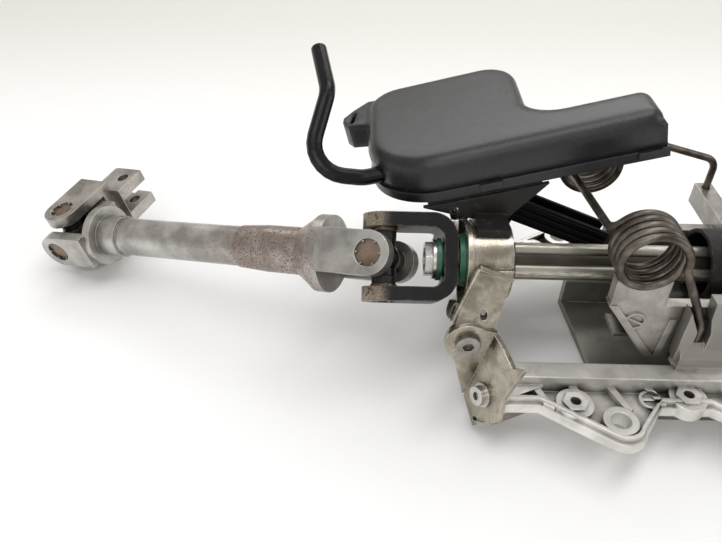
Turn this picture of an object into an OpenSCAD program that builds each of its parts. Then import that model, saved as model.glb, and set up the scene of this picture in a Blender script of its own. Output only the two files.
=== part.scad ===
// Steering column of a car, lying upside down on its console as on a bench.
// X runs along the column towards the steering wheel, Z is up from the bench.
// The origin is the centre of the four console bolts, in the plane of the ear faces.

/* [Console] */
// Bolt spacing along the column
mount_pitch_x = 96; // [90:1:110]
// Bolt spacing across the column
mount_pitch_y = 168; // [166:1:184]
// Diameter of the bolt holes in the ears
mount_hole_d = 11; // [8:0.5:13]
// Radius of the rounded ears
ear_r = 13.5; // [12:0.5:16]
// Height of the flange rim, its ribs and the ears
rim_h = 10; // [8:0.5:14]
// Thickness of the flange floor in the pockets
pocket_floor = 4.5; // [3:0.5:6]
// Height of the rails above the ear faces
rail_h = 16; // [14:0.5:20]
// Thickness of the rails
rail_w = 11.6; // [9:0.2:13]
// Clear width between the rails
rail_gap = 96; // [95:0.5:100]
// Front end of the rails, measured back from the bolt centre
rail_front = 112; // [104:1:114]
// Rear end of the rails, measured from the bolt centre
rail_rear = 104; // [98:1:120]
// Width of the ribs between the pockets
rib_w = 4; // [3:0.5:5]
// Width of the pocketed flange beside each rail
flange_w = 12.5; // [11:0.5:16]
// Depth of the trough below the ear faces
trough_depth = 26; // [20:1:34]
// Wall of the trough
trough_wall = 5; // [4:0.5:7]
// Height of the clamp cheeks above the clamp bolt
cheek_top = 16; // [14:1:20]
// Thickness of the clamp cheeks
cheek_t = 6.5; // [5:0.5:8]

/* [Pivot] */
// Distance of the tilt pivot in front of the bolt centre
pivot_back = 130; // [127:1:133]
// Height of the tilt pivot above the ear faces
pivot_z = 32; // [31:0.5:35]
// Shank diameter of the pivot bolts
pivot_bolt_d = 10; // [8:0.5:12]
// Thickness of the folded sheet of the brackets
sheet_t = 3; // [2.5:0.1:3.5]
// How far the pivot brackets reach below the ear faces
bracket_drop = 20; // [16:1:24]
// Turn of the bracket flanges against the cross direction
flange_turn = 25; // [22:1:28]
// Lean of the bracket flanges, their lower ends outwards
flange_lean = 12; // [10:0.5:14]
// Diameter of the bracket screws
screw_d = 6; // [5:0.5:8]
// Angle of tilt to each side of the middle
tilt_range = 2.5; // [1:0.1:3]

/* [Column] */
// Height of the column axis above the ear faces
axis_h = 52; // [51:0.5:56]
// Diameter over the lobes of the fluted shaft
shaft_d = 25.6; // [24:0.2:28]
// Diameter of the shaft in its front bearing
journal_d = 20; // [18:0.5:22]
// Front end of the fluted length, from the bolt centre
flute_front = 101; // [98:1:103]
// Rear end of the fluted shaft, from the bolt centre
flute_rear = 76; // [70:1:90]
// Outer diameter of the jacket tube
jacket_d = 44; // [42:0.5:48]
// Wall of the jacket tube
jacket_wall = 2.5; // [2:0.1:3]
// Front end of the jacket tube, from the bolt centre
jacket_front = 8; // [4:1:14]
// Rear end of the jacket tube, from the bolt centre
jacket_rear = 188; // [184:1:205]
// Reach travel to each side of the middle
reach_range = 22; // [15:1:24]
// Gap between parts that slide on each other
slide_gap = 0.3; // [0.2:0.05:0.4]

/* [Wheel end] */
// Outer diameter of the tubular wheel shaft
wheel_tube_d = 32; // [30:0.5:34]
// Diameter over the splines for the wheel
spline_d = 19; // [17:0.5:20]
// Number of splines
spline_count = 36; // [24:1:40]
// Length of the splines
spline_len = 24; // [18:1:30]
// Diameter of the plain end that takes the wheel nut
wheel_stub_d = 16; // [14:0.5:16.5]
// Length of the plain end that takes the wheel nut
wheel_stub_len = 18; // [14:1:24]
// Diameter of the wheel shaft in its bearing
wheel_journal_d = 22; // [20:0.5:24]

/* [Bearings] */
// Outer diameter of the front bearing
front_ring_d = 35; // [34:0.5:36]
// Width of the front bearing
front_ring_w = 12; // [10:0.5:14]
// Width of the upper bearing
upper_ring_w = 12; // [10:0.5:14]
// Balls in each bearing
ball_count = 10; // [8:1:12]
// Diameter of the bearing balls
ball_d = 4.6; // [4:0.1:5]
// Wall of the drawn cup that holds the front bearing
cup_wall = 4.5; // [4:0.5:6]
// Length of the drawn bearing cup
cup_len = 23; // [20:1:25]

/* [Universal joints] */
// Distance of the upper joint in front of the bolt centre
joint_back = 177; // [174:1:182]
// Diameter of the bearing cups of the crosses
cap_d = 16; // [14:0.5:17]
// Length of the bearing cups
cap_len = 8.6; // [7:0.1:9]
// Diameter of the journals of the crosses
trunnion_d = 10; // [8:0.5:11]
// Inner gap of the forks
fork_gap = 35; // [34:0.5:37]
// Thickness of the fork arms
fork_t = 8.5; // [8:0.1:10]
// Width of the fork arms
fork_w = 26; // [24:0.5:28]
// Room between the sweep of the facing fork and the fork base
fork_room = 0.9; // [0.8:0.1:3]
// Room behind that sweep in the column fork, for its spacer and nut
yoke_room = 5.5; // [5:0.1:6]
// Inner gap of the forks at the lower joint
lower_gap = 29; // [28:0.5:33]
// Thickness of the fork arms at the lower joint
lower_t = 7.5; // [7:0.1:9]
// Thickness of the fork base
fork_base = 8; // [7:0.5:10]
// Turn of the column fork about the column axis
arm_turn = 45; // [0:1:90]
// Swing of the upper cross in the column fork
upper_swing = -23.4; // [-30:0.1:0]
// Swing of the intermediate shaft on the upper cross
upper_bend = -6.1; // [-15:0.1:15]
// Distance between the two joint centres
shaft_len = 245; // [232:1:260]
// Turn of the lower fork against the upper one
lower_phase = -40.5; // [-60:0.5:60]
// Fold of the pinch yoke on the lower cross
lower_fold = -95; // [-97:0.5:0]

/* [Intermediate shaft] */
// Outer diameter of the shaft tube
tube_d = 30; // [29:0.5:34]
// Diameter of the inner shaft
inner_d = 26; // [24:0.2:27]
// Running gap of the inner shaft in the tube, on the radius
tube_fit = 0.08; // [0.03:0.01:0.1]
// Joint centre to the mouth of the tube
tube_mouth = 99; // [92:1:110]
// Length of the taper at the mouth
mouth_taper = 19; // [12:1:24]
// Telescoping travel to each side of the middle
telescope_range = 15; // [8:1:16]
// Diameter of the bell-shaped fork base
bell_d = 48; // [46:0.5:52]
// Length of the bell
bell_len = 15; // [12:1:18]
// Diameter of the base of the lower fork
lower_base_d = 42; // [40:0.5:46]
// Length of the knurled neck at the lower fork
neck_len = 16; // [12:1:20]
// Diameter of the knurled neck
neck_d = 29; // [28:0.5:32]

/* [Pinch yoke] */
// Diameter of the clamped bore
pinch_bore_d = 19; // [17:0.5:20]
// Length of the clamping hub
pinch_hub_len = 26; // [22:1:32]
// Width of the hub across the pinch bolt
pinch_hub_w = 29; // [28:0.5:34]
// Depth of the hub along the slot
pinch_hub_h = 36; // [34:0.5:40]
// Width of the slot in the hub
pinch_slot = 12; // [8:0.5:14]
// Diameter of the bolt that closes the hub
pinch_bolt_d = 8; // [6:0.5:9]

/* [Balance spring] */
// Wire diameter
wire_d = 4.6; // [4:0.1:5]
// Mean radius of the coils
coil_r = 17.2; // [16:0.2:18]
// Distance of the coil axis in front of the bolt centre
coil_back = 38; // [34:1:42]
// Height of the coil axis above the column axis
coil_rise = 33; // [32:0.5:36]
// Distance of the inner end of each coil from the middle
coil_inner = 20.5; // [19:0.5:21]
// Length of each coil
coil_span = 23.5; // [23:0.5:24]
// Whole turns in each coil
coil_turns = 4; // [3:1:4]

/* [Guide box] */
// Inner width of the guide box
guide_gap = 66; // [65:0.5:68]
// Wall of the guide box
guide_wall = 7; // [6:0.5:7.5]
// Front of the guide box walls, from the bolt centre
guide_front = 54; // [50:1:56]
// Front of the closed ring, from the bolt centre
ring_front = 36; // [36:1:40]
// Rear of the closed ring, from the bolt centre
ring_rear = 92; // [88:1:95]
// Wall of the ring round the jacket tube
ring_wall = 7; // [6:0.5:9]

/* [Clamp and lever] */
// Distance of the clamp bolt behind the bolt centre
clamp_x = 66; // [62:1:68]
// Height of the clamp bolt above the column axis
clamp_rise = 37; // [35:0.5:40]
// Diameter of the clamp bolt
clamp_d = 10; // [8:0.5:11]
// Thickness of each cam disc
cam_t = 5; // [4:0.5:6]
// Diameter of the cam discs
cam_d = 30; // [26:1:34]
// Thickness of the lever plate
lever_t = 4; // [3:0.5:5]
// Distance from the clamp bolt to the start of the grip
lever_len = 78; // [70:1:95]
// Length of the lever grip
grip_len = 62; // [50:1:80]
// Width of the lever grip
grip_w = 24; // [20:1:28]
// Thickness of the lever grip
grip_t = 14; // [12:0.5:16]
// Angle of the locked lever above the column axis
lever_rise = 8; // [5:1:15]

/* [Lock housing] */
// Length of the lock housing along the tube
lock_len = 40; // [34:1:46]
// Rear end of the lock housing ahead of the tube end
lock_set = 26; // [22:1:32]
// How far the lock box stands out from the tube
lock_reach = 34; // [28:1:40]
// Height of the lock box
lock_h = 42; // [36:1:46]

/* [Guard] */
// Pitch of the guard along the column
guard_pitch = 15; // [12:0.5:18]
// Near edge of the guard from the column axis
guard_y = 13; // [11:0.5:16]
// Distance of the guard reference in front of the bolt centre
guard_back = 143; // [140:1:146]
// Height of the guard reference above the column axis
guard_rise = 34; // [33:0.5:37]
// Width of the broad part of the cover
cover_w = 108; // [100:1:114]
// Length of the broad part ahead of the reference
cover_front = 41; // [38:1:46]
// Length of the broad part behind the reference
cover_broad = 57; // [52:1:62]
// Length of the arm behind the reference
cover_arm = 124; // [112:1:132]
// Width of the arm
arm_w = 33; // [30:1:38]
// Height of the tray
tray_h = 6; // [5:0.5:8]
// Height of the cover over the tray
cover_h = 21; // [18:0.5:24]
// Wall of the mouldings
shell_t = 2.6; // [2:0.1:3]
// Radius of the upper edge of the cover
edge_r = 8; // [6:0.5:9]
// Diameter of the guard bar
bar_d = 10; // [9:0.5:10.5]
// Bend radius of the guard bar
bar_bend = 19; // [16:1:20]

/* [Hidden] */
$fn = 48;

// Overlap that joins solids of one piece, and the length by which cuts overrun
eps = 0.5;
// Gap of a fit that does not move and of a shaft turning in its hole, on the radius
seat_fit = 0.02;
run_fit = 0.05;

// Colours as the photograph shows them
cast_alu = [0.68, 0.67, 0.65];
zinc = [0.60, 0.57, 0.50];
steel = [0.56, 0.54, 0.52];
bright = [0.76, 0.74, 0.70];
dark_steel = [0.26, 0.25, 0.24];
black_paint = [0.12, 0.12, 0.13];
black_plastic = [0.16, 0.16, 0.17];
spring_steel = [0.38, 0.36, 0.33];
seal_green = [0.16, 0.36, 0.29];
rubber = [0.08, 0.08, 0.08];

// Places along the column
rail_y = rail_gap / 2;
rail_out = rail_y + rail_w;
flange_out = rail_out + flange_w;
pivot = [-pivot_back, 0, pivot_z];
joint = [-joint_back, 0, axis_h];
fork_out = fork_gap / 2 + fork_t;
fork_depth = norm([fork_out, fork_w / 2]) + fork_room;
lower_out = lower_gap / 2 + lower_t;
lower_depth = norm([lower_out, fork_w / 2]) + fork_room;
yoke_depth = fork_depth - fork_room + yoke_room;
fork_back = -joint_back + yoke_depth + fork_base;
cup_r = front_ring_d / 2 + cup_wall;
cup_back = -flute_front - 3;
cup_front = cup_back - cup_len;
jacket_r = jacket_d / 2;
guide_in = guide_gap / 2;
guide_out = guide_in + guide_wall;
foot_out = rail_y - 1;
guide_floor_z = axis_h - jacket_r - 6;
clamp_z = axis_h + clamp_rise;
cheek_out = rail_y + cheek_t;

// Direction helpers
module at_axis(x) translate([x, 0, axis_h]) rotate([0, 90, 0]) children();
module extrude_x(x0, x1) translate([x0, 0, 0]) rotate([90, 0, 90]) linear_extrude(x1 - x0) children();
module extrude_y(y0, y1) translate([0, y1, 0]) rotate([90, 0, 0]) linear_extrude(y1 - y0) children();
module along_y(x, y0, z, r, h) translate([x, y0, z]) rotate([-90, 0, 0]) cylinder(r = r, h = h);
module both_sides() for (m = [0, 1]) mirror([0, m, 0]) children();

// A round rod between two points
module rod(a, b, r) {
  d = b - a;
  translate(a) rotate([0, acos(d[2] / norm(d)), atan2(d[1], d[0])]) cylinder(r = r, h = norm(d));
}

// A ring round the column axis from x0 to x1
module ring_x(x0, x1, r_in, r_out) at_axis(x0) difference() {
  cylinder(r = r_out, h = x1 - x0);
  translate([0, 0, -eps]) cylinder(r = r_in, h = x1 - x0 + 2 * eps);
}

// A rectangle with four round corners
module round_box(x0, y0, x1, y1, r) {
  translate([x0 + r, y0]) square([x1 - x0 - 2 * r, y1 - y0]);
  translate([x0, y0 + r]) square([x1 - x0, y1 - y0 - 2 * r]);
  for (x = [x0 + r, x1 - r]) for (y = [y0 + r, y1 - r]) translate([x, y]) circle(r);
}

// A slot with round ends, centred, along its own x
module slot_2d(len, r) {
  square([len, 2 * r], center = true);
  for (s = [-1, 1]) translate([s * len / 2, 0]) circle(r);
}

// Rods swept along a path
function unit(v) = v / norm(v);
function tangents(p) = [for (i = [0 : len(p) - 1]) unit(p[min(i + 1, len(p) - 1)] - p[max(i - 1, 0)])];
function carried(v, t) = unit(v - (v * t) * t);
function normals(t) = [
  for (i = 0, v = carried([0.31, 0.87, 0.39], t[0]); i < len(t);
       i = i + 1, v = i < len(t) ? carried(v, t[i]) : v) v
];

module swept_rod(path, r, sides) {
  t = tangents(path);
  u = normals(t);
  rings = len(path);
  points = [for (i = [0 : rings - 1]) for (k = [0 : sides - 1])
    path[i] + r * (cos(360 * k / sides) * u[i] + sin(360 * k / sides) * cross(t[i], u[i]))];
  walls = [for (i = [0 : rings - 2]) for (k = [0 : sides - 1])
    [i * sides + k, (i + 1) * sides + k, (i + 1) * sides + (k + 1) % sides, i * sides + (k + 1) % sides]];
  caps = [[for (k = [0 : sides - 1]) k], [for (k = [sides - 1 : -1 : 0]) (rings - 1) * sides + k]];
  polyhedron(points, concat(walls, caps), convexity = 10);
}

// Points of the arc of radius r that rounds the corner b between a and c
function corner_arc(a, b, c, r, steps) =
  let (u = unit(a - b), w = unit(c - b), open = acos(u * w), turn = 180 - open)
  let (mid = b + unit(u + w) * r / sin(open / 2), reach = r / tan(open / 2))
  let (p = b + u * reach - mid, q = b + w * reach - mid)
  [for (k = [0 : steps]) mid + (sin(turn * (1 - k / steps)) * p + sin(turn * k / steps) * q) / sin(turn)];

function rounded_path(p, r, steps) = concat(
  [p[0]],
  [for (i = [1 : len(p) - 2]) each corner_arc(p[i - 1], p[i], p[i + 1], r, steps)],
  [p[len(p) - 1]]
);

// Console

// Outline of one flange and its ears, drawn in by the inset
module flange_2d(inset) {
  translate([-rail_front + inset, rail_y])
    square([rail_front + rail_rear - 2 * inset, flange_out - rail_y - inset]);
  for (s = [-1, 1]) ear_2d(s * mount_pitch_x / 2, inset);
}

module ear_2d(x, inset) {
  y = mount_pitch_y / 2;
  r = ear_r - inset;
  tip_x = x + ear_r * 0.12;
  foot_y = flange_out - inset - eps;
  translate([x, y]) circle(r);
  translate([tip_x, y + 1]) circle(r);
  polygon([
    [x - 3.1 * ear_r, foot_y], [x + 2 * ear_r, foot_y],
    [tip_x + 0.8 * r, y + 0.6 * r], [x - 0.5 * r, y + 0.86 * r]
  ]);
}

// Slanted ribs that divide the pockets of a flange
module ribs_2d() {
  span = rail_front + rail_rear;
  ribs = 9;
  for (i = [1 : ribs])
    translate([-rail_front + span * i / (ribs + 1), rail_out]) rotate(68)
      translate([-rib_w / 2, -rib_w / 2]) square([flange_w * 1.6, rib_w]);
}

// Six-sided bosses on the flanges, each with a threaded hole
hex_boss_r = 7.5;
hex_hole_d = 6;
hex_boss_spots = [[-mount_pitch_x / 2 - 22, rail_out + 12], [-mount_pitch_x / 2 + 43, rail_out + 5.5]];

module flange() {
  lip_w = 2.2;
  rim_w = 4.6;
  difference() {
    union() {
      linear_extrude(pocket_floor) flange_2d(0);
      linear_extrude(rim_h - 3.5) difference() {
        flange_2d(0);
        flange_2d(rim_w);
      }
      linear_extrude(rim_h) difference() {
        flange_2d(lip_w);
        flange_2d(rim_w);
      }
      linear_extrude(rim_h - 1) intersection() {
        ribs_2d();
        flange_2d(1);
      }
      for (s = [-1, 1]) translate([s * mount_pitch_x / 2, mount_pitch_y / 2, 0])
        cylinder(r = ear_r * 0.72, h = rim_h);
      translate([-mount_pitch_x / 2 + 22, rail_out + 7, 0]) cylinder(r = 6.6, h = pocket_floor + 3);
      for (p = hex_boss_spots) translate([p[0], p[1], 0]) {
        cylinder(r = hex_boss_r + 3, h = rim_h - 1);
        cylinder(r = hex_boss_r, h = rim_h + 0.8, $fn = 6);
      }
    }
    for (p = hex_boss_spots) translate([p[0], p[1], -eps]) cylinder(d = hex_hole_d, h = rim_h + 3);
    translate([-mount_pitch_x / 2 + 22, rail_out + 7, pocket_floor + 1.5]) difference() {
      cylinder(r = 5, h = rim_h);
      translate([-6, -1, -eps]) cube([12, 2, rim_h + 2 * eps]);
    }
    for (s = [-1, 1]) translate([s * mount_pitch_x / 2, mount_pitch_y / 2, -eps])
      cylinder(d = mount_hole_d, h = rim_h + 2 * eps);
  }
}

// Frame of the bracket flange: the top of its fold at the origin, its width along y, its outer face at x = 0
fold_x = -rail_front - 4;
fold_top = pivot_z + 8;
module in_bracket_flange() translate([fold_x, bracket_y + sheet_t, fold_top])
  rotate([0, 0, -flange_turn]) rotate([0, flange_lean, 0]) children();

screw_y = 9;
screw_z = -38;
boss_len = 26;
boss_bottom = -10;

// Boss in the end of the rail, cut to the plane of the bracket flange
module screw_boss() intersection() {
  in_bracket_flange() translate([sheet_t, -1, screw_z - 2 * boss_len]) cube([boss_len, 23, 4 * boss_len]);
  translate([fold_x - boss_len, rail_y, boss_bottom]) cube([3 * boss_len, 2 * boss_len, rim_h - boss_bottom]);
}
module rail_end_cut() in_bracket_flange()
  translate([sheet_t - 2 * boss_len, -boss_len, screw_z - 2 * boss_len])
    cube([2 * boss_len, 3 * boss_len, 4 * boss_len]);
module screw_hole() in_bracket_flange() translate([sheet_t - eps, screw_y, screw_z]) rotate([0, 90, 0])
  cylinder(d = screw_d + 2 * seat_fit, h = 14);

// Slot in a cheek along the arc that the clamp bolt follows as the column tilts
clamp_arm = [clamp_x + pivot_back, clamp_z - pivot_z];
clamp_travel = norm(clamp_arm) * sin(tilt_range);
module clamp_slot_2d() translate([clamp_x, clamp_z]) rotate(atan2(clamp_arm[1], clamp_arm[0]) + 90)
  slot_2d(2 * clamp_travel, clamp_d / 2 + 2 * slide_gap);

module cheek() {
  r = 19;
  extrude_y(rail_y, cheek_out) difference() {
    union() {
      translate([clamp_x, clamp_z + cheek_top - r]) circle(r);
      polygon([
        [clamp_x - r, clamp_z + cheek_top - r], [clamp_x + r, clamp_z + cheek_top - r],
        [clamp_x + r + 6, eps], [clamp_x - r - 6, eps]
      ]);
    }
    clamp_slot_2d();
  }
}

trough_front = -mount_pitch_x / 2;
trough_slant = 9;
trough_rear = rail_rear - 4;

module trough() {
  difference() {
    translate([trough_front, -rail_y - trough_wall, -trough_depth])
      cube([trough_rear - trough_front, rail_gap + 2 * trough_wall, trough_depth + eps]);
    translate([trough_front - eps, -rail_y, trough_wall - trough_depth])
      cube([trough_rear - trough_front - trough_wall + eps, rail_gap, trough_depth + eps]);
    linear_extrude(4 * trough_depth, center = true) {
      round_box(trough_front + 68, -rail_y + 14, trough_rear - 24, rail_y - 14, 8);
      polygon([
        [trough_front - eps, -rail_y - 2 * trough_wall],
        [trough_front + trough_slant, -rail_y - 2 * trough_wall],
        [trough_front, rail_y + 2 * trough_wall], [trough_front - eps, rail_y + 2 * trough_wall]
      ]);
    }
  }
}

// Slab on the near rail with a sloped top, and two blocks beside the slot for the end of the spring
slab_top = rail_h + 9;
slot_floor = slab_top + 8;
slot_half = 4;
slab_y = -rail_y - 4;
slab_in = -guide_out - 2 * slide_gap;
module spring_slot() {
  left = arm_end_x - slot_half;
  right = arm_end_x + slot_half;
  difference() {
    extrude_x(arm_end_x - 9, arm_end_x + 33) polygon([
      [slab_y, rail_h - 2], [slab_in, rail_h - 2], [slab_in, slot_floor + 3],
      [slab_in - 4, slot_floor + 3], [slab_y, slab_top]
    ]);
    translate([left, 2 * slab_y, slot_floor]) cube([2 * slot_half, -2 * slab_y, axis_h]);
  }
  extrude_y(slab_y + 3, slab_in) {
    polygon([
      [left - 7, slab_top - 4], [left, slab_top - 4], [left, arm_bend_z - 1], [left - 7, arm_bend_z + 13]
    ]);
    polygon([
      [right, slab_top - 4], [right + 13, slab_top - 4], [right + 13, arm_bend_z + 20],
      [right - 4, arm_bend_z + 20], [right - 3, arm_bend_z + 8], [right, arm_bend_z - 2]
    ]);
  }
}

module console() color(cast_alu) {
  both_sides() {
    difference() {
      union() {
        flange();
        translate([-rail_front, rail_y, 0]) cube([rail_front + rail_rear, rail_w, rail_h]);
        screw_boss();
      }
      rail_end_cut();
      screw_hole();
    }
    cheek();
  }
  trough();
  spring_slot();
}

// Pivot brackets and their fasteners

leg_y = rail_y - 4;
bracket_y = leg_y + sheet_t + slide_gap;

// Side of a bracket: the round ear at the pivot, narrowing down to the slanted fold
function fold_at(z) = fold_x + 1.6 - (fold_top - z) * tan(flange_lean) / cos(flange_turn);
module bracket_side_2d() {
  low = -bracket_drop + 11;
  translate([-pivot_back, pivot_z]) circle(13);
  polygon([
    [-pivot_back - 12.5, pivot_z], [-pivot_back - 6, pivot_z - 14.5], [fold_at(low) - 3, low],
    [fold_at(low), low], [fold_at(fold_top), fold_top], [-pivot_back - 2, pivot_z + 12.8]
  ]);
}

// Flange of a bracket, with its raised corner, as its width and its height below the fold top
module bracket_flange_2d() {
  low = -fold_top - bracket_drop;
  polygon([
    [0.2, -1], [-4.9, low + 8], [11, low - 1.5], [27, low + 18],
    [23.5, low + 32], [28.5, -2], [20.5, -7], [10, -3]
  ]);
}

module pivot_bracket() difference() {
  union() {
    extrude_y(bracket_y, bracket_y + sheet_t) bracket_side_2d();
    in_bracket_flange() extrude_x(0, sheet_t) bracket_flange_2d();
  }
  along_y(-pivot_back, 0, pivot_z, pivot_bolt_d / 2 + seat_fit, rail_gap);
  in_bracket_flange() {
    translate([-eps, screw_y, screw_z]) rotate([0, 90, 0]) cylinder(d = screw_d + 0.4, h = 3 * sheet_t);
    extrude_x(-eps, 2 * sheet_t) translate([13, -fold_top - bracket_drop + 6]) rotate(38) slot_2d(9, 1.3);
  }
}

module pivot_bracket_right() color(zinc) mirror([0, 1, 0]) pivot_bracket();
module pivot_bracket_left() color(zinc) pivot_bracket();

module bracket_screws() color(bright) both_sides() in_bracket_flange()
  translate([0, screw_y, screw_z]) rotate([0, 90, 0]) difference() {
    union() {
      translate([0, 0, -1.4]) cylinder(r = 7.2, h = 1.4);
      translate([0, 0, -5.2]) cylinder(r = 5.6, h = 4);
      cylinder(d = screw_d, h = 15);
    }
    translate([0, 0, -5.2 - eps]) cylinder(r = 2.6, h = 3, $fn = 6);
  }

module pivot_bolts() color(steel) both_sides() difference() {
  union() {
    along_y(-pivot_back, leg_y - 2, pivot_z, pivot_bolt_d / 2, bracket_y + sheet_t - leg_y + 2 + eps);
    along_y(-pivot_back, bracket_y + sheet_t, pivot_z, pivot_bolt_d / 2 + 2, 3.2);
  }
  along_y(-pivot_back, bracket_y + sheet_t + 0.8, pivot_z, pivot_bolt_d / 2 - 1.6, 4, $fn = 6);
}

// Swing bracket, bearing plate and front bearing

// Section of one leg: from the side of the cup down and out to the pivot
module leg_section_2d() {
  top_z = axis_h + 11;
  polygon([
    [cup_r - 4, axis_h + 6], [cup_r - 1, top_z], [cup_r + 2, top_z], [leg_y + sheet_t, pivot_z + 9],
    [leg_y + sheet_t, pivot_z - 13], [leg_y, pivot_z - 13], [leg_y, pivot_z + 8], [cup_r, axis_h + 7]
  ]);
}

module leg_side_2d() {
  translate([-pivot_back, pivot_z]) circle(12);
  polygon([
    [cup_front + 2, axis_h + 12], [-pivot_back - 12, pivot_z + 1], [-pivot_back - 8, pivot_z - 12],
    [-pivot_back + 8, pivot_z - 12], [-pivot_back + 11, pivot_z + 2], [cup_back, axis_h + 12]
  ]);
}

module swing_bracket() color(zinc) {
  lip = 3;
  ring_x(cup_front, cup_back - lip, front_ring_d / 2 + seat_fit, cup_r);
  ring_x(cup_back - lip - eps, cup_back, front_ring_d / 2 - 3, cup_r);
  both_sides() difference() {
    intersection() {
      extrude_x(-pivot_back - 14, cup_back) leg_section_2d();
      extrude_y(0, rail_gap) leg_side_2d();
    }
    along_y(-pivot_back, 0, pivot_z, pivot_bolt_d / 2 + run_fit, rail_gap);
    along_y(-pivot_back + 8, 0, pivot_z + 14, 2.2, rail_gap);
    at_axis(cup_front - sheet_t - slide_gap) cylinder(r = cup_r + 1 + slide_gap, h = sheet_t + slide_gap);
  }
  both_sides() {
    rod([cup_front + 3, cup_r + 1, axis_h + 11], [-pivot_back - 9, leg_y, pivot_z + 10], 1.7);
    rod([cup_front + 3, cup_r + 1, axis_h + 12], [cup_back - 1, cup_r + 4, axis_h + 6], 2.2);
  }
}

// Lugs of the bearing plate: their turn about the column axis, their bend forwards and their twist
lug_turn = 51;
lug_root = cup_r - 5;
lug_bend = 20;
lug_twist = 42;
lug_reach = 14;

module bearing_plate() color(zinc) difference() {
  union() {
    extrude_x(cup_front - sheet_t, cup_front) translate([0, axis_h]) circle(cup_r + 1);
    for (s = [0, 180]) at_axis(cup_front - sheet_t / 2) rotate(90 + lug_turn + s)
      translate([lug_root, 0, 0]) rotate([0, lug_bend, 0]) rotate([s == 0 ? lug_twist : -lug_twist, 0, 0])
        translate([0, 0, -sheet_t / 2]) linear_extrude(sheet_t) difference() {
          union() {
            translate([lug_reach, 0]) circle(6.5);
            polygon([[-2, -7], [lug_reach, -6.5], [lug_reach, 6.5], [-2, 7]]);
          }
          translate([lug_reach, 0]) slot_2d(4, 2);
        }
  }
  at_axis(cup_front - 2 * sheet_t) cylinder(r = journal_d / 2 + 4.5, h = 3 * sheet_t);
  at_axis(cup_front) cylinder(r = cup_r + 2, h = cup_r);
  at_axis(cup_front - 2 * cup_r) cylinder(r = journal_d / 2 + 5.5, h = 2 * cup_r - sheet_t);
  at_axis(fork_back - 2 * cup_r) cylinder(r = fork_w - 1.5, h = 2 * cup_r + 1.5);
  at_axis(cup_front + 1.5) cylinder(r = 2 * cup_r, h = cup_r);
  translate([cup_front - 2 * cup_r, support_y - slide_gap, axis_h + cup_r - 3])
    cube([3 * cup_r, sheet_t + 2 * slide_gap, cup_r]);
}

module dust_seal() color(seal_green) {
  seal_front = fork_back + 1;
  ring_x(seal_front, cup_front - sheet_t, journal_d / 2 + slide_gap, journal_d / 2 + 5);
  ring_x(cup_front - sheet_t - eps, cup_front, journal_d / 2 + slide_gap, journal_d / 2 + 4.5 - seat_fit);
}

// Rings and balls of a ball bearing from x0, w wide, between a bore and an outer radius
function race_r(bore_r, out_r) = (bore_r + out_r) / 2;
module race_cut(x0, w, pitch_r) at_axis(x0 + w / 2) rotate_extrude()
  translate([pitch_r, 0]) circle(ball_d / 2 + run_fit);
module bearing_outer(x0, w, bore_r, out_r) difference() {
  ring_x(x0, x0 + w, race_r(bore_r, out_r) + ball_d / 4, out_r);
  race_cut(x0, w, race_r(bore_r, out_r));
}
module bearing_inner(x0, w, bore_r, out_r) difference() {
  ring_x(x0, x0 + w, bore_r, race_r(bore_r, out_r) - ball_d / 4);
  race_cut(x0, w, race_r(bore_r, out_r));
}
module bearing_balls(x0, w, bore_r, out_r) at_axis(x0 + w / 2)
  for (i = [0 : ball_count - 1]) rotate(360 * i / ball_count)
    translate([race_r(bore_r, out_r), 0, 0]) sphere(d = ball_d);

front_ring_x = cup_back - 3 - eps - front_ring_w;
module front_bearing_outer() color(bright)
  bearing_outer(front_ring_x, front_ring_w, journal_d / 2, front_ring_d / 2);
module front_bearing_inner() color(bright)
  bearing_inner(front_ring_x, front_ring_w, journal_d / 2 + seat_fit, front_ring_d / 2);
module front_bearing_balls() color(bright)
  bearing_balls(front_ring_x, front_ring_w, journal_d / 2, front_ring_d / 2);

// Strap below the shaft line that ties the bearing plate to the guide box
strap_y = cup_r - 1;
strap_z = axis_h - 11;
module link_strap() color(steel) {
  translate([cup_front, strap_y, strap_z - 13]) cube([ring_front - cup_front, 4, 13]);
}

// Guide box

foot_h = 10;
foot_z = guide_floor_z - 10;
arm_end_x = -1;
arm_bend_z = 44;

module guide_walls() {
  extrude_y(-guide_out, guide_out) polygon([
    [-guide_front, axis_h + 2], [ring_front + eps, axis_h + 2], [ring_front + eps, foot_z],
    [-guide_front + 30, foot_z], [-guide_front + 25, foot_z + 6]
  ]);
}

// Cradle on top of the near wall for its coil
module spring_seats() {
  seat_top = axis_h + coil_rise - coil_r * 0.8;
  extrude_y(-guide_out, -guide_in) difference() {
    translate([-coil_back - 15, axis_h]) square([30, seat_top - axis_h]);
    translate([-coil_back, axis_h + coil_rise]) circle(coil_r + wire_d / 2 + slide_gap);
  }
}

module guide_ring() {
  clamp_half = 16;
  extrude_x(ring_front, ring_rear) difference() {
    union() {
      translate([0, axis_h]) circle(jacket_r + ring_wall);
      translate([-guide_out, foot_z]) square([2 * guide_out, guide_floor_z - foot_z + 4]);
      translate([-guide_in + 6, foot_z]) square([guide_gap - 12, axis_h - foot_z]);
    }
    translate([0, axis_h]) circle(jacket_r + slide_gap);
  }
  difference() {
    extrude_x(clamp_x - clamp_half, clamp_x + clamp_half) difference() {
      translate([-rail_y + slide_gap, axis_h + jacket_r * 0.7])
        square([rail_gap - 2 * slide_gap, clamp_z + 12 - axis_h - jacket_r * 0.7]);
      translate([0, axis_h]) circle(jacket_r + slide_gap);
    }
    along_y(clamp_x, -rail_gap, clamp_z, clamp_d / 2 + run_fit, 2 * rail_gap);
  }
}

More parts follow.
